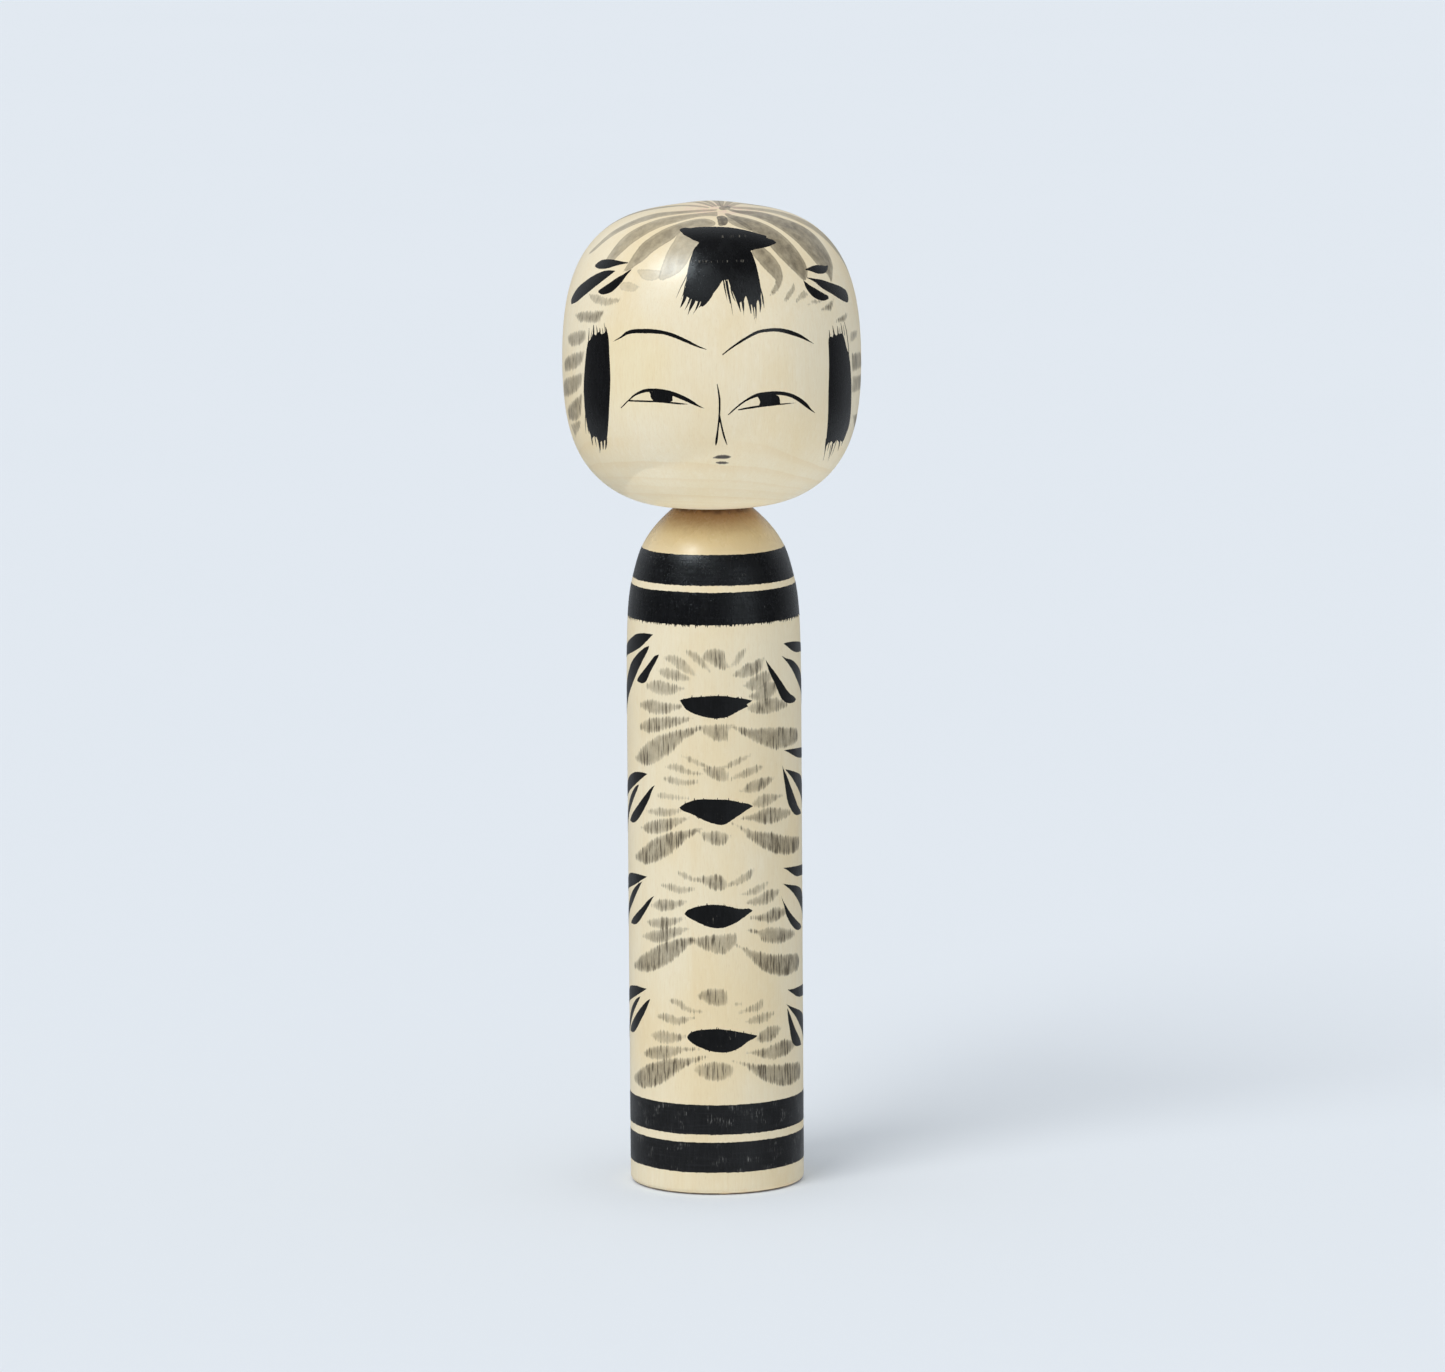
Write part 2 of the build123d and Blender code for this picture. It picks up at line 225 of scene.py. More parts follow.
LOCK_RIGHT = [
    [(51.03, 40.6), (51.83, 40.33), (52.87, 40.26), (53.73, 40.47), (54.24, 40.03), (54.99, 39.75), (55.72, 40.1), (56.51, 40.29), (57.29, 40.06), (58.07, 39.92), (58.9, 40.16), (59.69, 40.09), (60.5, 40.02), (61.53, 40.36), (62.48, 41.1), (63.12, 41.95), (63.66, 42.68), (64.45, 43.3), (65.85, 43.97), (66.34, 44.8), (66.87, 45.73), (67.27, 46.65), (67.73, 47.68), (68.16, 48.69), (68.59, 49.81), (68.9, 50.9), (69.23, 52.02), (69.59, 52.95), (70.02, 53.98), (70.5, 55.02), (70.83, 55.96), (71.09, 56.81), (70.95, 57.46), (70.6, 58.15), (69.91, 58.72), (69.43, 59.36), (69.14, 59.99), (68.23, 60.36), (66.44, 60.22), (64.71, 59.79), (64.25, 60.25), (62.62, 59.91), (61.22, 59.51), (60.56, 59.8), (60.08, 60.22), (59.15, 60.28), (57.86, 59.86), (56.83, 59.62), (56.38, 60.03), (55.29, 59.69), (54.79, 60.06), (54.31, 60.42), (54.15, 61.05), (54.04, 61.21), (53.36, 60.19), (52.97, 59.39), (52.46, 58.41), (52.14, 57.46), (51.87, 56.5), (51.61, 55.56), (51.36, 54.45), (51.09, 53.15), (50.86, 51.87), (50.71, 50.59), (50.63, 49.31), (50.67, 48.06), (50.76, 46.8), (50.83, 45.54), (50.84, 44.27), (50.83, 43.01), (50.81, 41.76)],
    [(51.8, 41.09, 0.204), (51.91, 40.27, 0.184), (51.91, 39.73, 0.136), (51.83, 39.11, 0.065)],
    [(54.98, 40.86, 0.258), (54.8, 39.95, 0.244), (54.58, 39.31, 0.179), (54.29, 38.45, 0.076)],
    [(57.58, 40.62, 0.222), (57.63, 39.89, 0.204), (57.66, 39.35, 0.157), (57.69, 38.67, 0.076)],
    [(59.23, 40.59, 0.15), (59.17, 39.78, 0.11), (59.15, 38.98, 0.053)],
    [(61.24, 40.77, 0.186), (60.88, 39.86, 0.184), (60.67, 39.12, 0.136), (60.37, 38.18, 0.065)],
    [(62.67, 40.47, 0.114), (62.49, 39.56, 0.11), (62.26, 38.6, 0.053)],
    [(65.66, 43.96, 0.15), (65.49, 42.77, 0.159), (65.12, 41.59, 0.157), (64.82, 40.49, 0.155), (64.3, 39.46, 0.129), (63.1, 37.91, 0.065)],
    [(52.99, 59.01, 0.258), (53.51, 60.19, 0.219), (54.19, 61.21, 0.151), (54.88, 62.14, 0.094), (55.94, 63.49, 0.048)],
    [(55.55, 59.51, 0.168), (55.85, 60.5, 0.13), (56.13, 61.51, 0.065)],
    [(58.42, 59.65, 0.258), (59, 60.65, 0.238), (59.31, 61.47, 0.192), (59.7, 62.19, 0.116), (60.34, 63.22, 0.053)],
    [(57.38, 60.37, 0.096), (58.07, 61.41, 0.095), (59.06, 62.46, 0.082), (60.71, 63.92, 0.048)],
    [(61.09, 59.4, 0.186), (61.33, 60.39, 0.145), (61.4, 61.38, 0.103), (61.37, 62.64, 0.053)],
    [(64.5, 59.77, 0.258), (65.2, 60.59, 0.224), (65.71, 61.21, 0.157), (66.3, 61.95, 0.065)],
    [(67.56, 59.74, 0.204), (67.97, 60.34, 0.172), (68.34, 61.08, 0.076)],
]

HAIR_LEAVES = [
    [(-60.8, 27.18, 0.29), (-57.3, 26.85, 0.89), (-52.2, 26.59, 0.95), (-47.6, 26.32, 0.63), (-43.3, 26.14, 0.3), (-40.1, 26.03, 0.11)],
    [(-73.7, 34.28, 0.79), (-68.8, 33.01, 1.39), (-62.3, 31.39, 1.41), (-56.6, 29.92, 1.25), (-51.9, 28.85, 0.92), (-48.5, 28.24, 0.5), (-46, 27.84, 0.12)],
    [(-52, 31.82, 0.3), (-49.2, 31.59, 0.74), (-45.5, 30.84, 0.96), (-42.3, 29.67, 0.83), (-40.1, 28.74, 0.49), (-38.5, 27.96, 0.29), (-37, 27.31, 0.1)],
    [(44.9, 27.74, 0.09), (47.8, 27.78, 0.41), (52.2, 27.98, 0.84), (56.3, 28.09, 0.79), (59.1, 27.94, 0.42), (61.2, 27.61, 0.13)],
    [(44.3, 29.31, 0.08), (48.3, 29.93, 0.35), (52.7, 30.84, 0.86), (58.4, 31.88, 1.08), (64.2, 32.87, 1.31), (68.9, 33.65, 1.24)],
    [(41.9, 29.84, 0.11), (43.6, 31.11, 0.61), (46.5, 32.21, 0.91), (50.1, 32.97, 0.8), (53.5, 33.27, 0.42)],
]

HEAD_WASH = [
    (0.46, [(9.04, 7.6), (-5.86, 7.66), (-17.83, 7.93), (-38.61, 9.19), (-55.87, 10.94), (-60.96, 13.23), (-63.8, 15.38), (-66.26, 17.44), (-68.73, 19.15), (-70.4, 21.12), (-71.68, 22.87), (-74.14, 24.33), (-75.49, 25.57), (-72, 25.02), (-69.15, 23.91), (-66.61, 22.33), (-63.78, 20.49), (-59.95, 18.99), (-56.1, 17.14), (-50.31, 15.08), (-44.04, 13.03), (-31.31, 11.04), (-14.83, 9.5), (-5.03, 8.94), (8.13, 8.44)]),
    (0.46, [(7.49, 9.14), (-4.62, 9.75), (-13.6, 10.35), (-29.05, 11.82), (-40.79, 13.88), (-46.3, 16.1), (-50.38, 18.13), (-52.71, 19.93), (-53.77, 21.74), (-54.2, 23.65), (-54.75, 25.24), (-54.56, 26.07), (-49.2, 25.9), (-48.1, 25.02), (-45.98, 23.69), (-44.12, 22.3), (-40.96, 20.65), (-37.18, 18.69), (-32.76, 16.93), (-26.91, 15.73), (-20.47, 14.1), (-11.34, 12.4), (-2.24, 11.77), (5.59, 12.18)]),
    (0.49, [(3.35, 14.6), (-3.44, 13.23), (-10.49, 13.43), (-19.41, 14.87), (-26.6, 16.7), (-32.27, 18.96), (-35.73, 20.86), (-37.65, 22.23), (-38.4, 23.68), (-39.16, 25.24), (-39.93, 26.46), (-40.58, 27.37), (-41.29, 27.83), (-38.35, 27.58), (-36.04, 26.81), (-31.63, 25.16), (-29.08, 23.68), (-25.57, 22.13), (-20.5, 20.47), (-19.05, 19.12), (-17.38, 17.9), (-13.95, 17.24), (-8.41, 16.96), (0.65, 16.5), (3.05, 16.02)]),
    (0.36, [(-18.85, 18.73), (-19.31, 20.68), (-20.61, 22.22), (-21.37, 23.84), (-21.81, 25.36), (-22.32, 26.46), (-22.46, 27.53), (-22.78, 28.74), (-21.42, 29.1), (-18.32, 28.69), (-15.32, 27.97), (-12.75, 27.08), (-10.66, 25.63), (-9.08, 23.55), (-6.76, 22.13), (-3.71, 21.26), (-3.47, 19.41), (-10.77, 17.85), (-17.33, 17.33)]),
    (0.22, [(-34.2, 27.22), (-29.1, 27.02), (-21.7, 27.19), (-22.4, 28.77), (-25.5, 29.29), (-29.4, 29.16), (-31.8, 28.35)]),
    (0.2, [(-40.5, 29.72), (-35.2, 29.57), (-30.7, 30.43), (-32.2, 31.4), (-37.2, 31.52), (-41.4, 30.87)]),
    (0.36, [(-59, 32.58), (-51.9, 32.32), (-47, 32.91), (-39.3, 32.68), (-39.5, 33.42), (-44.6, 34.32), (-50.6, 34.33), (-55.7, 33.76)]),
    (0.525, [(-68, 36.67), (-63.1, 35.91), (-55.4, 35.51), (-46.5, 35.11), (-48.4, 36.64), (-49.3, 37.59), (-58, 37.81), (-63.8, 37.79)]),
    (0.5, [(-75.2, 40.99), (-68.7, 39.82), (-56.8, 38.93), (-56.3, 40.86), (-61.9, 42.08), (-71.6, 42.7)]),
    (0.525, [(-80.5, 45.57), (-70.1, 43.88), (-57.6, 42.67), (-58.3, 44.84), (-65.6, 46.74), (-78.4, 47.56)]),
    (0.55, [(-83.7, 49.41), (-67.9, 47.63), (-58.3, 46.61), (-59.5, 49.21), (-69.1, 51.63), (-85.9, 52.57)]),
    (0.55, [(-79.9, 54.36), (-66.9, 51.91), (-59.8, 50.59), (-61.3, 54.43), (-67.2, 56.11), (-78.9, 56.52)]),
    (0.45, [(-77.8, 57.18), (-62.9, 55.51), (-65.8, 57.47), (-74.8, 59.59)]),
    (0.403, [(32.32, 5.88, 0.4), (34, 6.66, 0.75), (70, 10.9, 1.6), (77, 15.3, 2.1), (83, 20.4, 2.4), (86, 24.6, 2.2), (89.5, 28.4, 1.5), (92, 31.3, 0.3)]),
    (0.595, [(25.9, 8.02, 0.4), (30.9, 9.69, 1.03), (45, 12.27, 2.08), (52.2, 16.53, 2.73), (57.9, 20.3, 3.7), (59.5, 23.53, 3.54), (60.2, 26.18, 2.76), (60.4, 28.49, 1.12), (59.4, 30.42, 0.33)]),
    (0.595, [(15.68, 10.93, 0.45), (18.2, 12.51, 0.86), (28, 16.22, 1.97), (34.4, 19.45, 2.18), (37.4, 22.6, 2.42), (40, 25.2, 2.18), (42.1, 27.36, 1.66), (42.5, 29.14, 0.7)]),
    (0.56, [(23.7, 23.68, 1.52), (26.4, 25.6, 1.63), (28.7, 27.54, 1.35), (29.5, 29.21, 0.7), (27.2, 30.86, 0.52), (24.7, 31.89, 0.25)]),
    (0.5, [(36.7, 29.83), (36.4, 31.3), (33.5, 32.7), (30.7, 33.45), (30.2, 32.82), (32.2, 31.82)]),
    (0.425, [(40.5, 31.44), (42.9, 32.15), (41.5, 32.94), (37.7, 33.23), (35.5, 33.79), (35.5, 33.17), (37.5, 32.39)]),
    (0.425, [(45.7, 33.29), (49.6, 33.75), (47.9, 34.21), (43.3, 34.25), (41.4, 34.29), (42.9, 33.72)]),
    (0.656, [(58.4, 33.57), (56.6, 34.75), (54.3, 35.91), (50.7, 35.56), (47.2, 35.63), (49.6, 34.89), (53.7, 34.32)]),
    (0.625, [(68.3, 36.52), (66.9, 37.49), (62.7, 38.23), (55.7, 37.83), (59.4, 37.16)]),
    (0.82, [(5.04, 13.54), (4.63, 12.31), (7.19, 11.99), (10.91, 11.76), (13.08, 12.64), (12.84, 14.11), (11.52, 15.36), (9.8, 16.34), (5.29, 16.3), (4.8, 14.88)]),
    (0.5, [(14.1, 13.5, 0.74), (18.7, 15.54, 1.24), (23.7, 17.7, 0.53)]),
    (0.469, [(68, 40.15), (79.5, 40.1), (75.8, 41.69), (67.3, 42.06)]),
    (0.531, [(68, 44.06), (86.1, 44.26), (88.8, 47.49), (69, 47.46)]),
    (0.531, [(69.1, 48.23), (88.7, 48.59), (88.5, 51.5), (69.9, 51.44)]),
    (0.531, [(72.9, 55.56), (87.8, 55.81), (87.2, 58.44), (86.7, 60.11)]),
    (0.45, [(-4.67, 6.22, 0.28), (-20.27, 5.47, 0.48), (-70, 6.2, 0.7), (-92, 10.6, 1.5), (-96, 15.4, 2.1), (-99, 20.2, 2.4), (-101, 24.4, 2), (-103, 28.2, 0.6)]),
    (0.48, [(3.77, 5.44, 0.28), (-22.32, 3.14, 0.48), (-118, 5, 0.7), (-120, 9.6, 1.5), (-121, 15, 2.2), (-123, 20.4, 2.5), (-124, 25.2, 2.1), (-126, 29.4, 0.6)]),
    (0.5, [(10.27, 5.23, 0.28), (-8.85, 1.85, 0.48), (-150, 5.2, 0.8), (-146, 10.2, 1.7), (-145, 16, 2.3), (-147, 21.6, 2.5), (-148, 26.6, 2), (-150, 30.8, 0.6)]),
    (0.5, [(17.9, 5.23, 0.28), (41.1, 1.69, 0.48), (178, 5.6, 0.8), (184, 10.8, 1.8), (187, 16.6, 2.3), (189, 22.4, 2.5), (190, 27.4, 2.1), (191, 31.6, 0.6)]),
    (0.5, [(21.87, 5.33, 0.28), (51.59, 2.48, 0.48), (160, 5.4, 0.8), (163, 10.4, 1.7), (164, 16.2, 2.3), (166, 21.8, 2.5), (167, 26.8, 2.1), (168, 31, 0.6)]),
    (0.48, [(27.51, 5.64, 0.28), (51.08, 3.94, 0.48), (128, 5.2, 0.7), (136, 9.9, 1.6), (139, 15.6, 2.2), (142, 21, 2.4), (144, 25.8, 2), (146, 29.8, 0.6)]),
    (0.432, [(31.93, 6.11, 0.28), (43.02, 5.44, 0.48), (92, 5.4, 0.7), (108, 9.4, 1.5), (114, 14.8, 2.1), (118, 20.2, 2.3), (121, 24.8, 1.9), (123, 28.8, 0.6)]),
    (0.6, [(12.32, 6.65), (17.36, 5.67), (25.98, 5.1), (34.62, 5.53), (32.3, 6.9), (23.25, 7.95), (15.46, 8.37), (11.81, 7.81)]),
]

FLOWER_CENTRES = [
    [(-23.3, 91), (-17.2, 91.56), (-7.4, 91.9), (2.1, 92.03), (7.9, 91.94), (14.7, 91.53), (21.7, 91.21), (25.7, 90.87), (24.8, 90.56), (21.9, 90.21), (23.2, 89.79), (20.2, 89.57), (14.6, 88.85), (9.7, 88.1), (3.9, 87.79), (-0.8, 87.81), (-7.5, 88.15), (-13.3, 88.65), (-18.3, 89.27), (-20.5, 89.92), (-21.7, 90.57)],
    [(-23.9, 71.36), (-20.8, 72.08), (-16.7, 72.54), (-12.8, 72.98), (-6, 73.15), (0.7, 73.02), (6.5, 73.04), (11.3, 72.81), (17.2, 72.33), (22.3, 72.11), (26, 71.5), (22.3, 71.03), (17.2, 70.18), (11.2, 69.18), (7.3, 68.41), (3.5, 68.28), (-1.3, 68.59), (-8, 69.25), (-13.8, 70.15), (-17.8, 70.51), (-21.9, 70.86)],
    [(-20.9, 51.89), (-19.3, 52.59), (-14.3, 53.19), (-8.4, 53.64), (-0.7, 53.79), (7, 53.54), (12.8, 53.02), (17.7, 52.76), (22.9, 52.85), (25.2, 52.34), (22.3, 51.78), (18.7, 51.18), (13.7, 50.31), (8.8, 49.69), (3, 49.33), (-2.7, 49.48), (-8.5, 50), (-14.3, 50.76), (-18.3, 51.26)],
    [(-19.8, 29.19), (-17.9, 30.03), (-12.9, 30.55), (-6.1, 30.81), (1.6, 30.82), (8.3, 30.64), (15.2, 30.14), (21.3, 29.76), (24.9, 29.46), (28.5, 29.17), (25.4, 28.71), (21.2, 28.27), (16.1, 27.28), (10.2, 26.55), (3.4, 26.39), (-3.3, 26.62), (-10.1, 27.27), (-15, 27.9), (-18.5, 28.53)],
]

SIDE_LEAVES = [
    [(-44.1, 102.6), (-51.7, 102.66), (-62.4, 102.26), (-70.9, 101.16), (-82.1, 99.9), (-91, 98.6), (-96, 97.4), (-94, 96.6), (-88, 96.9), (-82.3, 97.5), (-70.5, 98.35), (-58.1, 99.59), (-50, 101.18)],
    [(-47.7, 100.45), (-53, 99.94), (-61.9, 98.39), (-71.2, 96.57), (-77.5, 94.72), (-85.2, 92.52), (-93, 90), (-99, 86.8), (-98, 85.6), (-92, 86), (-84, 88.2), (-75.6, 90.75), (-67.6, 92.94), (-59.5, 95.66), (-52.9, 98.02), (-48.4, 99.62)],
    [(-38.4, 99.08), (-42.2, 98.86), (-46.2, 97.68), (-52.8, 95.87), (-59.5, 94.45), (-61.5, 93.57), (-58, 93.29), (-52.9, 93.4), (-49.8, 93.96), (-46.1, 95.81), (-41.5, 97.54)],
    [(53, 100.51), (58.2, 100.61), (69.3, 100.39), (82.1, 99.8), (90, 99.2), (95, 98.2), (93, 97.5), (86, 97.8), (80, 98), (70.1, 98.24), (62.8, 98.89), (58, 99.67)],
    [(50.3, 98.46), (55.1, 97.77), (63.6, 97.19), (71.2, 96.1), (81.5, 94.47), (89.4, 92.4), (97, 89.8), (102, 86.6), (100, 85.6), (93, 87.4), (85, 90.2), (72.3, 92.82), (65.6, 94.7), (58.5, 96.57), (53.4, 97.69)],
    [(35.2, 98.76), (37.5, 97.5), (43.7, 95.72), (52.2, 93.03), (59, 91.18), (66.5, 90.36), (69.6, 89.69), (66.4, 89.23), (58.9, 89.3), (52.9, 89.79), (48.4, 91.01), (44.9, 93), (39.8, 95.29), (36.9, 97.25)],
    [(-49.8, 76.9), (-55.3, 77.06), (-65.2, 76.82), (-75.5, 75.77), (-84.7, 74.29), (-92, 72.6), (-95, 71.2), (-91, 70.9), (-85, 71.6), (-78.2, 72.55), (-65.3, 74.3), (-57.1, 75.7)],
    [(-60, 74.65), (-64.2, 74.21), (-70.1, 73.03), (-76.1, 71.42), (-81.5, 69.82), (-89.4, 67.3), (-96, 64.8), (-98, 63.4), (-94, 63.6), (-87, 65.6), (-81.3, 67.8), (-72.5, 70.22), (-65.5, 72.41), (-60.6, 74.08)],
    [(-42.8, 75.09), (-46.2, 74.59), (-53.9, 72.58), (-63.4, 70.33), (-72.7, 68.45), (-76.6, 67.33), (-72.9, 67.09), (-65.9, 67.31), (-60.4, 68.28), (-54, 70.15), (-48.5, 72.22), (-45.6, 73.93)],
    [(51.8, 81), (58.6, 80.96), (69.9, 80.72), (89.4, 80.1), (95, 79.3), (96, 78.5), (91, 78), (84.3, 78.3), (71.3, 78.83), (62.6, 79.73), (56.8, 80.49)],
    [(52.5, 77.57), (60.4, 77), (71.2, 76.15), (82, 75.14), (89.4, 73.4), (97, 70.4), (101, 67.6), (99, 66.8), (92, 68.6), (84, 70.7), (72.6, 72.98), (64.5, 74.94), (57.5, 76.57)],
    [(49.7, 79.15), (51.7, 77.6), (54.9, 76.54), (60.3, 74.04), (66.8, 71.61), (72.3, 69.74), (79.8, 68.73), (81, 68.13), (70.7, 68.24), (64.3, 68.74), (58.2, 70.34), (55.1, 72.08), (53.5, 74.3), (51.7, 76.52)],
    [(-50.6, 57.97), (-56.3, 58.03), (-66.6, 58.01), (-78, 57.63), (-89.4, 56.2), (-96, 54.6), (-98, 53.4), (-94, 53.1), (-86, 54.2), (-76.1, 55), (-64.3, 56.08), (-56.4, 57.22)],
    [(-56.4, 56.95), (-63.2, 56.12), (-71.9, 54.52), (-78.8, 52.84), (-88, 50.4), (-95, 47.8), (-98, 46.2), (-95, 46), (-88, 48), (-82.5, 49.8), (-72.1, 52.07), (-64.5, 54.31), (-58.6, 56.18)],
    [(-44.3, 54.67), (-49.3, 53.96), (-56.6, 52.19), (-65.9, 50.45), (-74.9, 48.95), (-75.8, 48.31), (-68.6, 48.31), (-62.2, 48.98), (-55.9, 50.6), (-50.1, 52.45), (-46.4, 53.93)],
    [(50.3, 59.43), (57.8, 59.27), (70.1, 59), (89.4, 58.5), (96, 57.6), (97, 56.6), (91, 56.3), (79.6, 56.79), (68.6, 56.98), (60.6, 57.93), (55.1, 58.84)],
    [(49.2, 56.64), (57.7, 56.03), (69.9, 55.35), (80.5, 54.17), (89.4, 52.4), (98, 49), (102, 46.4), (100, 45.6), (93, 47.4), (84.7, 49.61), (72.8, 52.09), (63.6, 54.15), (55.9, 55.56)],
    [(46.8, 55.39), (50.1, 53.51), (54.9, 51.96), (59.3, 50.69), (68.2, 48.93), (77.6, 47.8), (79.7, 47.15), (72.5, 46.88), (64.4, 47.48), (57.4, 49.15), (53.7, 50.66), (51.6, 52.36)],
    [(-52.4, 37.19), (-58.4, 37.21), (-66.9, 37.23), (-80.5, 36.56), (-89.4, 35.2), (-96, 33.6), (-98, 32.4), (-94, 32.1), (-86, 33.3), (-76.8, 34.16), (-64.7, 35.43), (-57.5, 36.43)],
    [(-60.4, 35.49), (-66.4, 34.81), (-74.1, 33.2), (-79.6, 31.69), (-84.8, 29.9), (-91, 27.4), (-94, 26), (-91, 26), (-84, 28.2), (-73.2, 31.47), (-66, 33.6), (-61.4, 34.9)],
    [(-48.6, 35.57), (-53.3, 34.84), (-61.6, 32.99), (-73.4, 30.38), (-80.8, 28.63), (-80.9, 28.07), (-73.6, 28.04), (-67.6, 28.75), (-60.7, 30.71), (-54.2, 32.9), (-50.2, 34.7)],
    [(54.3, 36.79), (60.7, 36.56), (70.3, 36.59), (89.4, 36.3), (96, 35.4), (97, 34.4), (91, 34), (79.9, 34.32), (68.7, 34.7), (61.7, 35.64)],
    [(52.6, 34.28), (60.6, 33.24), (71.5, 32.3), (89.4, 30.3), (98, 26.8), (102, 24.2), (100, 23.4), (92, 25.2), (84, 26.8), (73, 29.36), (64.8, 31.41), (57.7, 32.97)],
    [(54.2, 33.53), (55.9, 32.92), (60.5, 30.8), (65.9, 28.63), (74.6, 26.55), (77.4, 25.44), (69.6, 25.52), (63.4, 25.89), (59.4, 27.04), (57.2, 29.32), (55.3, 31.31)],
]

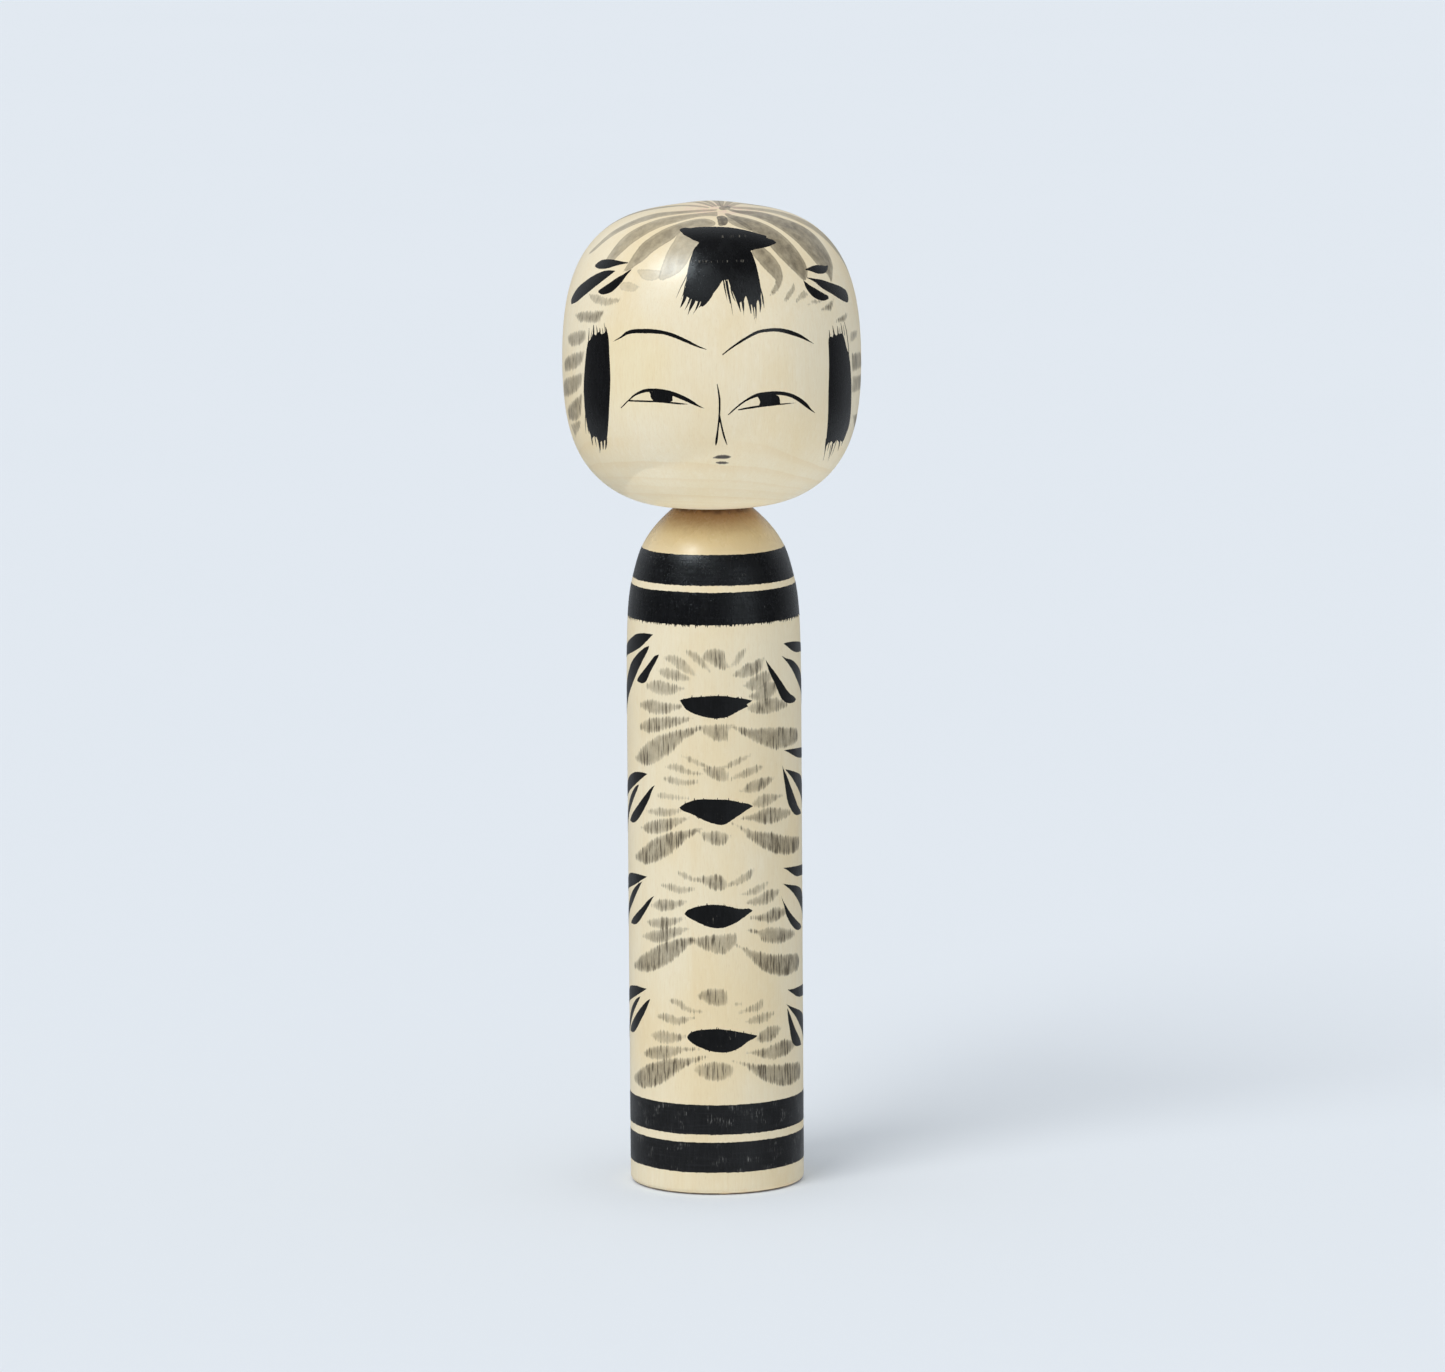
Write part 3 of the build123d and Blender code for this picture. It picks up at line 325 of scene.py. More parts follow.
BODY_WASH = [
    (0.5, [(-8.2, 99.77), (-3.4, 100.45), (1.4, 100.71), (6.7, 100.28), (7.9, 99.07), (8.5, 98), (10.5, 97.45), (7.1, 96.55), (2.3, 96.84), (-1.5, 97.78), (-7.3, 98.31)]),
    (0.42, [(-19.3, 100.14, 0.17), (-13.1, 99.21, 0.82), (-7.3, 97.77, 0.65), (-3, 96.39, 0.16)]),
    (0.38, [(21.3, 100.35, 0.14), (17.5, 99.1, 0.78), (13.4, 97.69, 0.6), (9, 97.15, 0.19)]),
    (0.4, [(-34.2, 98.56, 0.22), (-27.5, 98.42, 0.92), (-20.1, 97.19, 1.06), (-11.7, 95.67, 0.27)]),
    (0.42, [(-39, 96.13, 0.29), (-33, 95.81, 1), (-25.3, 95.52, 1.04), (-17.1, 95.04, 0.49)]),
    (0.45, [(-49.1, 92.98, 0.6), (-40.3, 93.07, 1.37), (-30.8, 92.96, 1.13), (-19.4, 93.27, 0.21)]),
    (0.5, [(-55.5, 89.34, 0.56), (-45.6, 89.43, 1.34), (-35.5, 89.32, 1.13), (-22.3, 89.94, 0.37)]),
    (0.5, [(-56.3, 85.28, 0.59), (-47.2, 85.79, 1.38), (-33.3, 86.69, 1.17), (-21.4, 87.36, 0.64), (-13.3, 87.98, 0.16)]),
    (0.55, [(-61.8, 79.28, 0.72), (-49.8, 80.43, 1.95), (-37.1, 82.3, 2.08), (-25.7, 84.15, 1.33), (-15.4, 85.47, 0.64), (-8.3, 86.22, 0.16)]),
    (0.45, [(-11.9, 86.38), (-7.6, 86.76), (0.1, 86.82), (7.8, 86.83), (13.6, 86.67), (9.7, 85.96), (9.2, 84.62), (8.5, 83.56), (1.9, 83.43), (-3.8, 84.14), (-7.6, 85.2)]),
    (0.5, [(34.2, 98.33, 0.25), (28.5, 96.91, 1.27), (20.9, 96.2, 1.2), (14.3, 95.76, 0.54)]),
    (0.5, [(40.4, 95.14, 0.54), (35, 94.62, 1.4), (27.6, 93.85, 1.39), (20.3, 93.64, 0.32)]),
    (0.5, [(44.3, 92.97, 0.77), (37.3, 92.36, 1.71), (29.7, 91.66, 1.06), (23.8, 91.65, 0.32)]),
    (0.5, [(55.4, 89.3, 0.43), (44.1, 89.59, 1.36), (33.6, 89.56, 1.42), (23.8, 89.46, 0.54)]),
    (0.6, [(12.1, 86.26, 0.16), (21.6, 85.13, 0.8), (32.3, 84.23, 1.54), (44.6, 83.45, 2.03), (58.8, 83.22, 1.78), (68.8, 83.12, 1.35)]),
    (0.38, [(-21.6, 80.92, 0.17), (-16, 80.26, 0.6), (-7.7, 79.3, 0.38), (-2, 78.78, 0.21)]),
    (0.42, [(-8.7, 78.71), (-3.9, 79.04), (1.8, 79.17), (6.6, 79.01), (8.5, 78.19), (9.3, 77.38), (8.5, 76.31), (5.6, 76.17), (-0.1, 76.63), (-5.4, 77.43)]),
    (0.42, [(25.1, 81.06, 0.17), (19.4, 80.34, 0.55), (11.5, 79.45, 0.6), (5.6, 78.8, 0.49)]),
    (0.4, [(-33.5, 78.68, 0.22), (-25.8, 78.7, 0.82), (-17.6, 78.02, 0.54), (-7.8, 77.69, 0.22)]),
    (0.36, [(-34.8, 76.44, 0.22), (-28, 76.26, 0.77), (-19.7, 75.99, 0.59), (-12.2, 76.21, 0.43)]),
    (0.32, [(-41.6, 73.24, 0.16), (-34.9, 73.29, 0.71), (-26, 73.21, 0.54), (-17.7, 73.2, 0.27)]),
    (0.4, [(-50.1, 70.01, 0.22), (-39.8, 70.2, 0.81), (-30.4, 70.43, 0.75), (-20.8, 71.14, 0.27)]),
    (0.5, [(-56.7, 66.75, 0.27), (-48, 67.11, 1.12), (-37.5, 67.7, 1.33), (-26.1, 68.77, 0.74), (-15.8, 69.72, 0.21)]),
    (0.58, [(-64, 61.05, 0.6), (-52.9, 61.81, 1.62), (-40.2, 63.44, 2.08), (-29.5, 65.06, 1.66), (-21, 66.29, 0.96), (-9, 67.63, 0.21)]),
    (0.48, [(-10, 66.81), (-6.1, 67.24), (0.6, 67.37), (6.3, 67.08), (10.4, 66.29), (8.2, 65.18), (3.4, 64.4), (-1.4, 64.69), (-6.2, 65.22), (-8.6, 66.02)]),
    (0.42, [(32.7, 78.59, 0.28), (26.7, 78.17, 0.78), (19.4, 77.53, 0.77), (10.4, 76.66, 0.27)]),
    (0.48, [(42, 76.26, 0.24), (33.3, 75.54, 1.04), (25.5, 75, 1.11), (17.8, 74.47, 0.27)]),
    (0.44, [(50, 72.81, 0.24), (40.4, 72.54, 0.8), (33.2, 72.26, 1.24), (26.5, 71.89, 0.56)]),
    (0.52, [(58.6, 69.3, 0.53), (44.2, 69.37, 1.39), (34.2, 69.41, 1.47), (25.4, 69.44, 0.65), (17.1, 69.37, 0.16)]),
    (0.6, [(11.2, 68.65, 0.13), (17.1, 67.76, 0.29), (25.3, 66.13, 0.9), (35.3, 65.06, 1.6), (46.8, 63.88, 1.76), (59.8, 63.24, 1.7), (70.5, 63.05, 1.36)]),
    (0.48, [(-10.2, 59.01), (-4.4, 59.17), (1.3, 59.43), (6.1, 58.73), (8.5, 57.64), (8, 56.56), (3.2, 56.19), (-2.6, 56.47), (-8.3, 57.4)]),
    (0.4, [(-25.3, 59.49, 0.14), (-21.2, 59.02, 0.73), (-16.1, 58.41, 0.44), (-8.3, 58.16, 0.49)]),
    (0.44, [(26.2, 60.05, 0.15), (22, 58.92, 0.8), (14.9, 57.88, 0.66), (9, 57.36, 0.43)]),
    (0.4, [(-38.5, 56.83, 0.17), (-32, 56.65, 0.67), (-23.3, 56.26, 0.76), (-15, 56.54, 0.32)]),
    (0.44, [(-47.2, 52.77, 0.27), (-38, 53.11, 1.13), (-28.7, 53.48, 0.91), (-19.3, 54.19, 0.27)]),
    (0.48, [(-51, 49.59, 0.34), (-40.6, 49.67, 1.14), (-31.1, 50.2, 0.91), (-21.2, 51.08, 0.27)]),
    (0.5, [(-56.9, 46.75, 0.22), (-47.4, 47.01, 1.02), (-37, 47.61, 1.33), (-26.7, 48.54, 0.91), (-18.2, 49.26, 0.21)]),
    (0.58, [(-68, 40.78, 0.6), (-54.7, 41.84, 1.68), (-41, 43.43, 2.07), (-30.2, 45.08, 1.72), (-22.6, 46.33, 1.17), (-13.9, 47.31, 0.37)]),
    (0.48, [(-18.4, 46.93), (-10.5, 47.83), (-2.8, 48.26), (5.9, 48.42), (14.1, 48.5), (14.6, 46.65), (10.6, 45.36), (5.8, 44.54), (1, 44.56), (-5.7, 45.15), (-11.5, 45.93)]),
    (0.42, [(37.1, 57.27, 0.25), (29.4, 56.19, 0.87), (22.9, 55.67, 0.55), (17.3, 55.48, 0.22)]),
    (0.48, [(46.1, 55.32, 0.38), (37.4, 54.61, 1.25), (29.3, 54.03, 0.95), (20.8, 53.9, 0.22)]),
    (0.52, [(51.2, 51.35, 0.74), (42.4, 51.09, 1.35), (34.9, 50.79, 0.94), (23.9, 51.08, 0.19)]),
    (0.56, [(62.8, 46.73, 0.7), (49.2, 47.04, 1.43), (37.2, 47.47, 1.47), (29.2, 48.25, 0.53), (20.7, 48.85, 0.16)]),
    (0.62, [(10.7, 46.71, 0.13), (18.6, 45.37, 0.4), (26.9, 43.84, 1.07), (37.1, 42.33, 1.76), (50.5, 41.43, 2.02), (66.7, 41.25, 1.72)]),
    (0.5, [(-13.2, 36.99), (-8.8, 37.97), (-3, 38.45), (3.7, 38.39), (7.3, 37.82), (8.5, 36.46), (7.5, 35.11), (2.7, 34.87), (-5, 35.15), (-8.9, 35.95), (-12.8, 36.59)]),
    (0.4, [(-32.1, 35.7, 0.17), (-26.1, 35.44, 0.69), (-18.8, 34.35, 0.61), (-8.7, 33.92, 0.22)]),
    (0.42, [(-42.5, 32.53, 0.17), (-35.1, 32.5, 0.85), (-26.2, 32.05, 0.87), (-14.8, 32.86, 0.21)]),
    (0.44, [(-48.9, 28.76, 0.23), (-40.1, 28.81, 1.18), (-30.6, 28.82, 1.09), (-20.8, 29.3, 0.22)]),
    (0.5, [(-56.3, 25.05, 0.27), (-46.9, 25.44, 1.19), (-35.3, 25.98, 1.34), (-23.1, 26.82, 0.54), (-11, 27.13, 0.16)]),
    (0.58, [(-69.7, 19.78, 0.76), (-56.7, 20.46, 1.95), (-41.8, 22.06, 2.16), (-29.7, 23.68, 1.49), (-20.1, 24.6, 0.75), (-5.1, 25.83, 0.16)]),
    (0.46, [(-15.1, 23.15), (-12.1, 24.13), (-5.3, 24.72), (2.4, 24.85), (9.2, 24.39), (11.6, 23.41), (10.1, 22.08), (5.2, 21.17), (-0.6, 21), (-7.3, 21.45), (-12.2, 22.23)]),
    (0.38, [(31.9, 35.78, 0.19), (28.8, 34.59, 0.83), (22.4, 34.15, 0.56), (15.3, 33.77, 0.27)]),
    (0.3, [(12.8, 35.27, 0.38), (16.3, 35.32, 0.33)]),
    (0.42, [(40.8, 32.93, 0.3), (33.3, 32.42, 0.98), (25.5, 32.1, 0.78), (19.3, 31.91, 0.16)]),
    (0.5, [(48.2, 30.04, 0.26), (40.5, 29.47, 1.29), (33.2, 28.9, 1.29), (27.6, 28.47, 0.34)]),
    (0.54, [(62.8, 26.38, 0.76), (50.1, 26.09, 1.59), (39.1, 25.71, 1.35), (28.6, 26.05, 0.65), (18.1, 26.29, 0.14)]),
    (0.6, [(10.1, 24.92, 0.13), (20.1, 23.95, 0.48), (29.6, 22.62, 1.17), (40.2, 21.73, 1.82), (53, 21.07, 2.08), (68.3, 20.92, 1.82)]),
]

# on the body the second number is a height: turn it into the distance up the surface
for _group in (FLOWER_CENTRES, SIDE_LEAVES):
    for _shape in _group:
        for _i, _q in enumerate(_shape):
            _shape[_i] = (_q[0], float(body_s(_q[1])), *_q[2:])
for _tone, _shape in BODY_WASH:
    for _i, _q in enumerate(_shape):
        _shape[_i] = (_q[0], float(body_s(_q[1])), *_q[2:])

# the four painted rings: (bottom z, top z, lower edge's spikes, upper edge's spikes)
SHOULDER_BANDS = [(111.76, 117.18, 0.16, 0.06), (104.79, 110.63, 0.72, 0.12)]
BASE_BANDS = [(11.26, 16.75, 0.14, 0.08), (4.18, 9.78, 0.12, 0.10)]

# ============================================================================================
# Smooth noise with fixed seeds
# ============================================================================================


def noise2(x, y, seed):
    """Value noise, -1 to 1, one cell per unit."""
    table = np.random.RandomState(seed).rand(256, 256) * 2 - 1
    x, y = np.asarray(x, float), np.asarray(y, float)
    xi, yi = np.floor(x).astype(int), np.floor(y).astype(int)
    fx, fy = x - xi, y - yi
    fx, fy = fx * fx * (3 - 2 * fx), fy * fy * (3 - 2 * fy)
    a, b = table[xi % 256, yi % 256], table[(xi + 1) % 256, yi % 256]
    c, d = table[xi % 256, (yi + 1) % 256], table[(xi + 1) % 256, (yi + 1) % 256]
    return (a * (1 - fx) + b * fx) * (1 - fy) + (c * (1 - fx) + d * fx) * fy


def grain_noise(theta, s, radius, seed, fine=0.22, long=1.3):
    """Noise drawn out along the grain, which runs up and down."""
    x = np.radians(theta) * radius
    return 0.65 * noise2(x / fine + 31.7, s / long + 7.3, seed) + 0.35 * noise2(
        x / (fine * 0.45) + 11.1, s / (long * 0.5) + 3.9, seed + 1
    )


# ============================================================================================
# Distance from a brush shape, in mm, negative inside
# ============================================================================================


def spline(q, spacing):
    """Catmull-Rom through the rows of q, resampled about spacing apart (first three columns are a place)."""
    q = np.asarray(q, float)
    p = np.concatenate([[2 * q[0] - q[1]], q, [2 * q[-1] - q[-2]]])
    out = []
    for i in range(1, len(p) - 2):
        a, b, c, d = p[i - 1 : i + 3]
        n = max(2, int(np.linalg.norm((c - b)[:3]) / spacing) + 1)
        t = np.linspace(0, 1, n, endpoint=False)[:, None]
        out.append(
            0.5 * ((2 * b) + (c - a) * t + (2 * a - 5 * b + 4 * c - d) * t**2 + (3 * b - a - 3 * c + d) * t**3)
        )
    out.append(q[-1:])
    return np.concatenate(out)


def rounded(poly):
    """Corner cutting twice; a point sharper than a right angle keeps its point."""
    p = np.asarray(poly, float)
    keep = np.zeros(len(p), bool)
    k = np.array([0.27, 1.0]) if abs(p[:, 1].mean()) < 200 else np.array([1.0, 1.0])
    a, b = (np.roll(p, 1, 0) - p) * k, (np.roll(p, -1, 0) - p) * k
    cosine = (a * b).sum(1) / (np.linalg.norm(a, axis=1) * np.linalg.norm(b, axis=1) + 1e-9)
    keep = cosine > -0.25
    for _ in range(2):
        out, flags = [], []
        n = len(p)
        for i in range(n):
            j = (i + 1) % n
            if keep[i]:
                out.append(p[i])
                flags.append(True)
            else:
                out.append(0.75 * p[i] + 0.25 * p[j])
                flags.append(False)
            if not keep[j]:
                out.append(0.25 * p[i] + 0.75 * p[j])
                flags.append(False)
            elif keep[i]:
                pass
        p, keep = np.array(out), np.array(flags)
    return p


class Stroke:
    """A brush stroke: discs of changing width along a line on the surface."""

    def __init__(self, surface, pts, spacing=0.1):
        q = np.array([(*p, 0.0)[:4] for p in pts], float)
        place = surface.place(q[:, 0], q[:, 1])
        rows = spline(np.column_stack([place, q[:, 2]]), spacing)
        self.c, self.w = rows[:, :3], np.maximum(rows[:, 3], 0.015)
        # back onto the surface
        th = np.degrees(np.arctan2(self.c[:, 0], -self.c[:, 1]))
        r = np.hypot(self.c[:, 0], self.c[:, 1])
        if surface is HEAD:
            k = [int(np.argmin((HEAD.p[:, 0] - a) ** 2 + (HEAD.p[:, 1] - b) ** 2)) for a, b in zip(r, self.c[:, 2])]
            s = HEAD.s[k]
        else:
            s = body_s(self.c[:, 2])
        self.c = surface.place(th, s)
        self.th, self.s = th, s
        margin = float(self.w.max()) + 0.6
        rad = np.maximum(surface.at(s)[0], 2.0)
        self.box = (
            float((th - np.degrees(margin / rad)).min()), float((th + np.degrees(margin / rad)).max()),
            float(s.min() - margin), float(s.max() + margin),
        )

    def distance(self, points, theta, s):
        best = np.full(len(points), 1e9)
        for i in range(0, len(self.c), 64):
            c, w = self.c[i : i + 64], self.w[i : i + 64]
            d = np.sqrt(((points[:, None, :] - c[None]) ** 2).sum(2)) - w[None]
            best = np.minimum(best, d.min(1))
        return best


class Outline:
    """A filled shape given by its outline."""

    def __init__(self, surface, pts, spacing=None):
        self.p = rounded(pts)
        s0 = float(self.p[:, 1].mean())
        self.r = float(surface.at(s0)[0])
        self.k = np.array([math.radians(1) * self.r, 1.0])
        margin = 0.6
        self.box = (
            float(self.p[:, 0].min() - math.degrees(margin / self.r)),
            float(self.p[:, 0].max() + math.degrees(margin / self.r)),
            float(self.p[:, 1].min() - margin), float(self.p[:, 1].max() + margin),
        )

    def distance(self, points, theta, s):
        q = np.column_stack([theta, s]) * self.k
        a = self.p * self.k
        b = np.roll(a, -1, 0)
        best = np.full(len(q), 1e9)
        inside = np.zeros(len(q), bool)
        for (ax, ay), (bx, by) in zip(a, b):
            dx, dy = bx - ax, by - ay
            t = np.clip(((q[:, 0] - ax) * dx + (q[:, 1] - ay) * dy) / (dx * dx + dy * dy + 1e-12), 0, 1)
            best = np.minimum(best, np.hypot(q[:, 0] - ax - t * dx, q[:, 1] - ay - t * dy))
            if ay != by:
                cross = (ay > q[:, 1]) != (by > q[:, 1])
                inside ^= cross & (q[:, 0] < (bx - ax) * (q[:, 1] - ay) / (by - ay) + ax)
        return np.where(inside, -best, best)


def shape_of(surface, pts):
    return Stroke(surface, pts) if len(pts[0]) == 3 else Outline(surface, pts)


# ============================================================================================
# Mesh helpers
# ============================================================================================


def add_mesh(name, verts_mm, faces, normals=None, sharp=()):
    me = bpy.data.meshes.new(name)
    me.from_pydata((np.asarray(verts_mm) * MM).tolist(), [], faces)
    me.validate()
    me.update()
    me.shade_smooth()
    if len(sharp):
        flags = me.attributes.new("sharp_edge", "BOOLEAN", "EDGE")
        ends = np.empty(len(me.edges) * 2, np.int32)
        me.edges.foreach_get("vertices", ends)
        ends = ends.reshape(-1, 2)
        ring = np.full(len(me.vertices), -1)
        for k, ids in enumerate(sharp):
            ring[list(ids)] = k
        flags.data.foreach_set("value", (ring[ends[:, 0]] >= 0) & (ring[ends[:, 0]] == ring[ends[:, 1]]))
    if normals is not None:
        me.normals_split_custom_set_from_vertices(np.asarray(normals).tolist())
    ob = bpy.data.objects.new(name, me)
    scene.collection.objects.link(ob)
    return ob


def lathe(rows, theta):
    """Vertices and faces of a closed turning. rows are (r, z); a row with r = 0 is a single point."""
    verts, start = [], []
    cs, sn = np.cos(np.radians(theta)), np.sin(np.radians(theta))
    n = len(theta)
    count = 0
    for r, z in rows:
        start.append((count, r < 1e-6))
        if r < 1e-6:
            verts.append([[0, 0, z]])
            count += 1
        else:
            verts.append(np.stack([r * sn, -r * cs, np.full(n, z)], 1))
            count += n
    verts = np.concatenate(verts)
    faces = []
    j = np.arange(n)
    k = (j + 1) % n
    for (a, a_point), (b, b_point) in zip(start, start[1:]):
        if a_point:
            faces += np.stack([np.full(n, a), b + j, b + k], 1).tolist()
        elif b_point:
            faces += np.stack([a + k, a + j, np.full(n, b)], 1).tolist()
        else:
            faces += np.stack([a + j, b + j, b + k, a + k], 1).tolist()
    return verts, faces, start


def columns(front, back, limit=100.0):
    """Angles round the turning, closer together over the painted front."""
    a = np.arange(-limit, limit, front)
    b = np.arange(limit, 360 - limit, back)
    return np.concatenate([a, b])


# ============================================================================================
# Wood: head and body
# ============================================================================================
head_theta = columns(0.72, 1.25)
head_s = np.concatenate([[0], np.geomspace(0.12, 0.42, 4), np.arange(0.8, HEAD_END - 0.2, 0.375), [HEAD_END]])
hr, hz = HEAD.at(head_s)
head_rows = list(zip(hr, hz))
head_rows[0] = (0.0, HEIGHT)
seat_row = len(head_rows) - 1
HOLE_TOP = SEAT_Z + 17.0 + 0.8
head_rows += [(7.2, SEAT_Z), (PEG_R + 0.4, SEAT_Z), (PEG_R, SEAT_Z + 0.4), (PEG_R, HOLE_TOP), (0.0, HOLE_TOP + 1.6)]
head_verts, head_faces, head_start = lathe(head_rows, head_theta)
rings = lambda start, rows: [range(start[i][0], start[i + 1][0]) for i in rows]
head_wood = add_mesh(
    "head_wood", head_verts, head_faces, sharp=rings(head_start, [seat_row, seat_row + 2, seat_row + 3, seat_row + 4])
)

body_theta = columns(1.2, 1.9)
edge = [
    (BODY_R - BASE_EDGE * (1 - math.sin(a)), BASE_EDGE * (1 - math.cos(a)))
    for a in np.radians([0, 18, 36, 54, 72, 90])
]
body_line = np.arange(BASE_EDGE + 0.3, 90.0, 0.42)
body_arc = np.arange(float(body_s(90.0)), BODY_END - 0.15, 0.4)
br, bz = BODY.at(np.concatenate([body_line, body_arc, [BODY_END]]))
FLOOR_Z = LAND_Z - 16.0 - 1.5
body_rows = (
    [(0.0, 0.0), (6.0, 0.0), (11.0, 0.0)]
    + edge
    + list(zip(br, bz))
    + [(SOCKET_R + 0.4, LAND_Z), (SOCKET_R, LAND_Z - 0.4), (SOCKET_R, FLOOR_Z), (0.0, FLOOR_Z - 1.6)]
)
body_verts, body_faces, body_start = lathe(body_rows, body_theta)
# the body's rows run upwards, so its faces are turned round
body_faces = [f[::-1] for f in body_faces]
top_row = 3 + len(edge) + len(br) - 1
body_wood = add_mesh(
    "body_wood", body_verts, body_faces,
    sharp=rings(body_start, [3, top_row, top_row + 1, top_row + 2, top_row + 3]),
)


def lay_washes(ob, surface, verts, washes):
    """Thinned-ink strokes as distances kept on the wood's points: strokes that overlap go on separate coats."""
    theta = np.degrees(np.arctan2(verts[:, 0], -verts[:, 1]))
    r = np.hypot(verts[:, 0], verts[:, 1])
    if surface is HEAD:
        s = np.full(len(verts), 1e6)
        n = len(head_theta)
        s[0] = 0.0
        for i, value in enumerate(head_s[1:], start=1):
            a = head_start[i][0]
            s[a : a + n] = value
    else:
        s = body_s(verts[:, 2])
        s[r < 5.5] = 1e6
        s[(verts[:, 2] < 0.01)] = 1e6
    coats = 3
    dist = np.full((coats, len(verts)), 9.0)
    tone = np.zeros((coats, len(verts)))
    for t, pts in washes:
        shape = shape_of(surface, pts)
        lo, hi, s0, s1 = shape.box
        wrap = (theta - lo) % 360 + lo
        near = (wrap <= hi) & (s >= s0 - 0.6) & (s <= s1 + 0.6)
        if surface is HEAD and s0 < 4.0:
            near |= s < max(6.0, s0 + 6.0)
        idx = np.nonzero(near)[0]
        if not len(idx):
            continue
        d = shape.distance(verts[idx], wrap[idx], s[idx])
        inside = idx[d < 0.25]
        coat = next((c for c in range(coats) if (dist[c][inside] > 0.3).all()), coats - 1)
        better = d < dist[coat][idx]
        dist[coat][idx[better]] = d[better]
        tone[coat][idx[better]] = t
    for c in range(coats):
        for label, values in (("d", np.clip(dist[c], -9, 9)), ("t", tone[c])):
            at = ob.data.attributes.new(f"wash_{label}{c}", "FLOAT", "POINT")
            at.data.foreach_set("value", values.astype(np.float32))


lay_washes(head_wood, HEAD, head_verts, HEAD_WASH)
lay_washes(body_wood, BODY, body_verts, BODY_WASH)

# ============================================================================================
# Ink: thin closed films that stand a hair proud of the wood
# ============================================================================================
PROUD = 0.030
UNDER = -0.030
RIM = -0.008


def march(theta, s, f):
    """The part of a grid where f < 0, as triangles cut along f = 0. Returns points, f there, triangles."""
    ns, nt = f.shape
    f = np.where(np.abs(f) < 1e-4, -1e-4, f)
    T, S = np.meshgrid(theta, s)
    flat = f.ravel()
    place = np.column_stack([T.ravel(), S.ravel()])
    idx = np.arange(ns * nt).reshape(ns, nt)
    a, b, c, d = idx[:-1, :-1].ravel(), idx[:-1, 1:].ravel(), idx[1:, 1:].ravel(), idx[1:, :-1].ravel()
    odd = ((np.arange(ns - 1)[:, None] + np.arange(nt - 1)[None]) % 2 == 1).ravel()
    t1 = np.where(odd[:, None], np.stack([a, b, c], 1), np.stack([a, b, d], 1))
    t2 = np.where(odd[:, None], np.stack([a, c, d], 1), np.stack([b, c, d], 1))
    tris = np.concatenate([t1, t2])
    neg = flat[tris] < 0
    count = neg.sum(1)
    keys, pts, vals, tri_out = {}, [], [], []

    def corner(i):
        k = (i, i)
        if k not in keys:
            keys[k] = len(pts)
            pts.append(place[i])
            vals.append(flat[i])
        return keys[k]

    def cut(i, j):
        k = (min(i, j), max(i, j))
        if k not in keys:
            keys[k] = len(pts)
            w = flat[k[0]] / (flat[k[0]] - flat[k[1]])
            w = min(max(w, 0.03), 0.97)
            pts.append(place[k[0]] * (1 - w) + place[k[1]] * w)
            vals.append(0.0)
        return keys[k]

    for t in tris[count == 3].tolist():
        tri_out.append((corner(t[0]), corner(t[1]), corner(t[2])))
    mixed = (count > 0) & (count < 3)
    for t, n in zip(tris[mixed].tolist(), neg[mixed].tolist()):
        k = sum(n)
        if k == 1:
            i = n.index(True)
            p, q, r = t[i], t[(i + 1) % 3], t[(i + 2) % 3]
            tri_out.append((corner(p), cut(p, q), cut(p, r)))
        else:
            i = n.index(False)
            p, q, r = t[i], t[(i + 1) % 3], t[(i + 2) % 3]
            e1, e2 = cut(p, q), cut(p, r)
            tri_out.append((e1, corner(q), corner(r)))
            tri_out.append((e1, corner(r), e2))
    if not pts:
        return None
    return np.array(pts), np.array(vals), np.array(tri_out)


def clusters(shapes):
    """Groups of shapes whose boxes touch."""
    groups = []
    for sh in shapes:
        joined, rest = [sh], []
        for g in groups:
            hit = any(
                o.box[0] < sh.box[1] and sh.box[0] < o.box[1] and o.box[2] < sh.box[3] and sh.box[2] < o.box[3]
                for o in g
            )
            if hit:
                joined += g
            else:
                rest.append(g)
        groups = rest + [joined]
    return groups


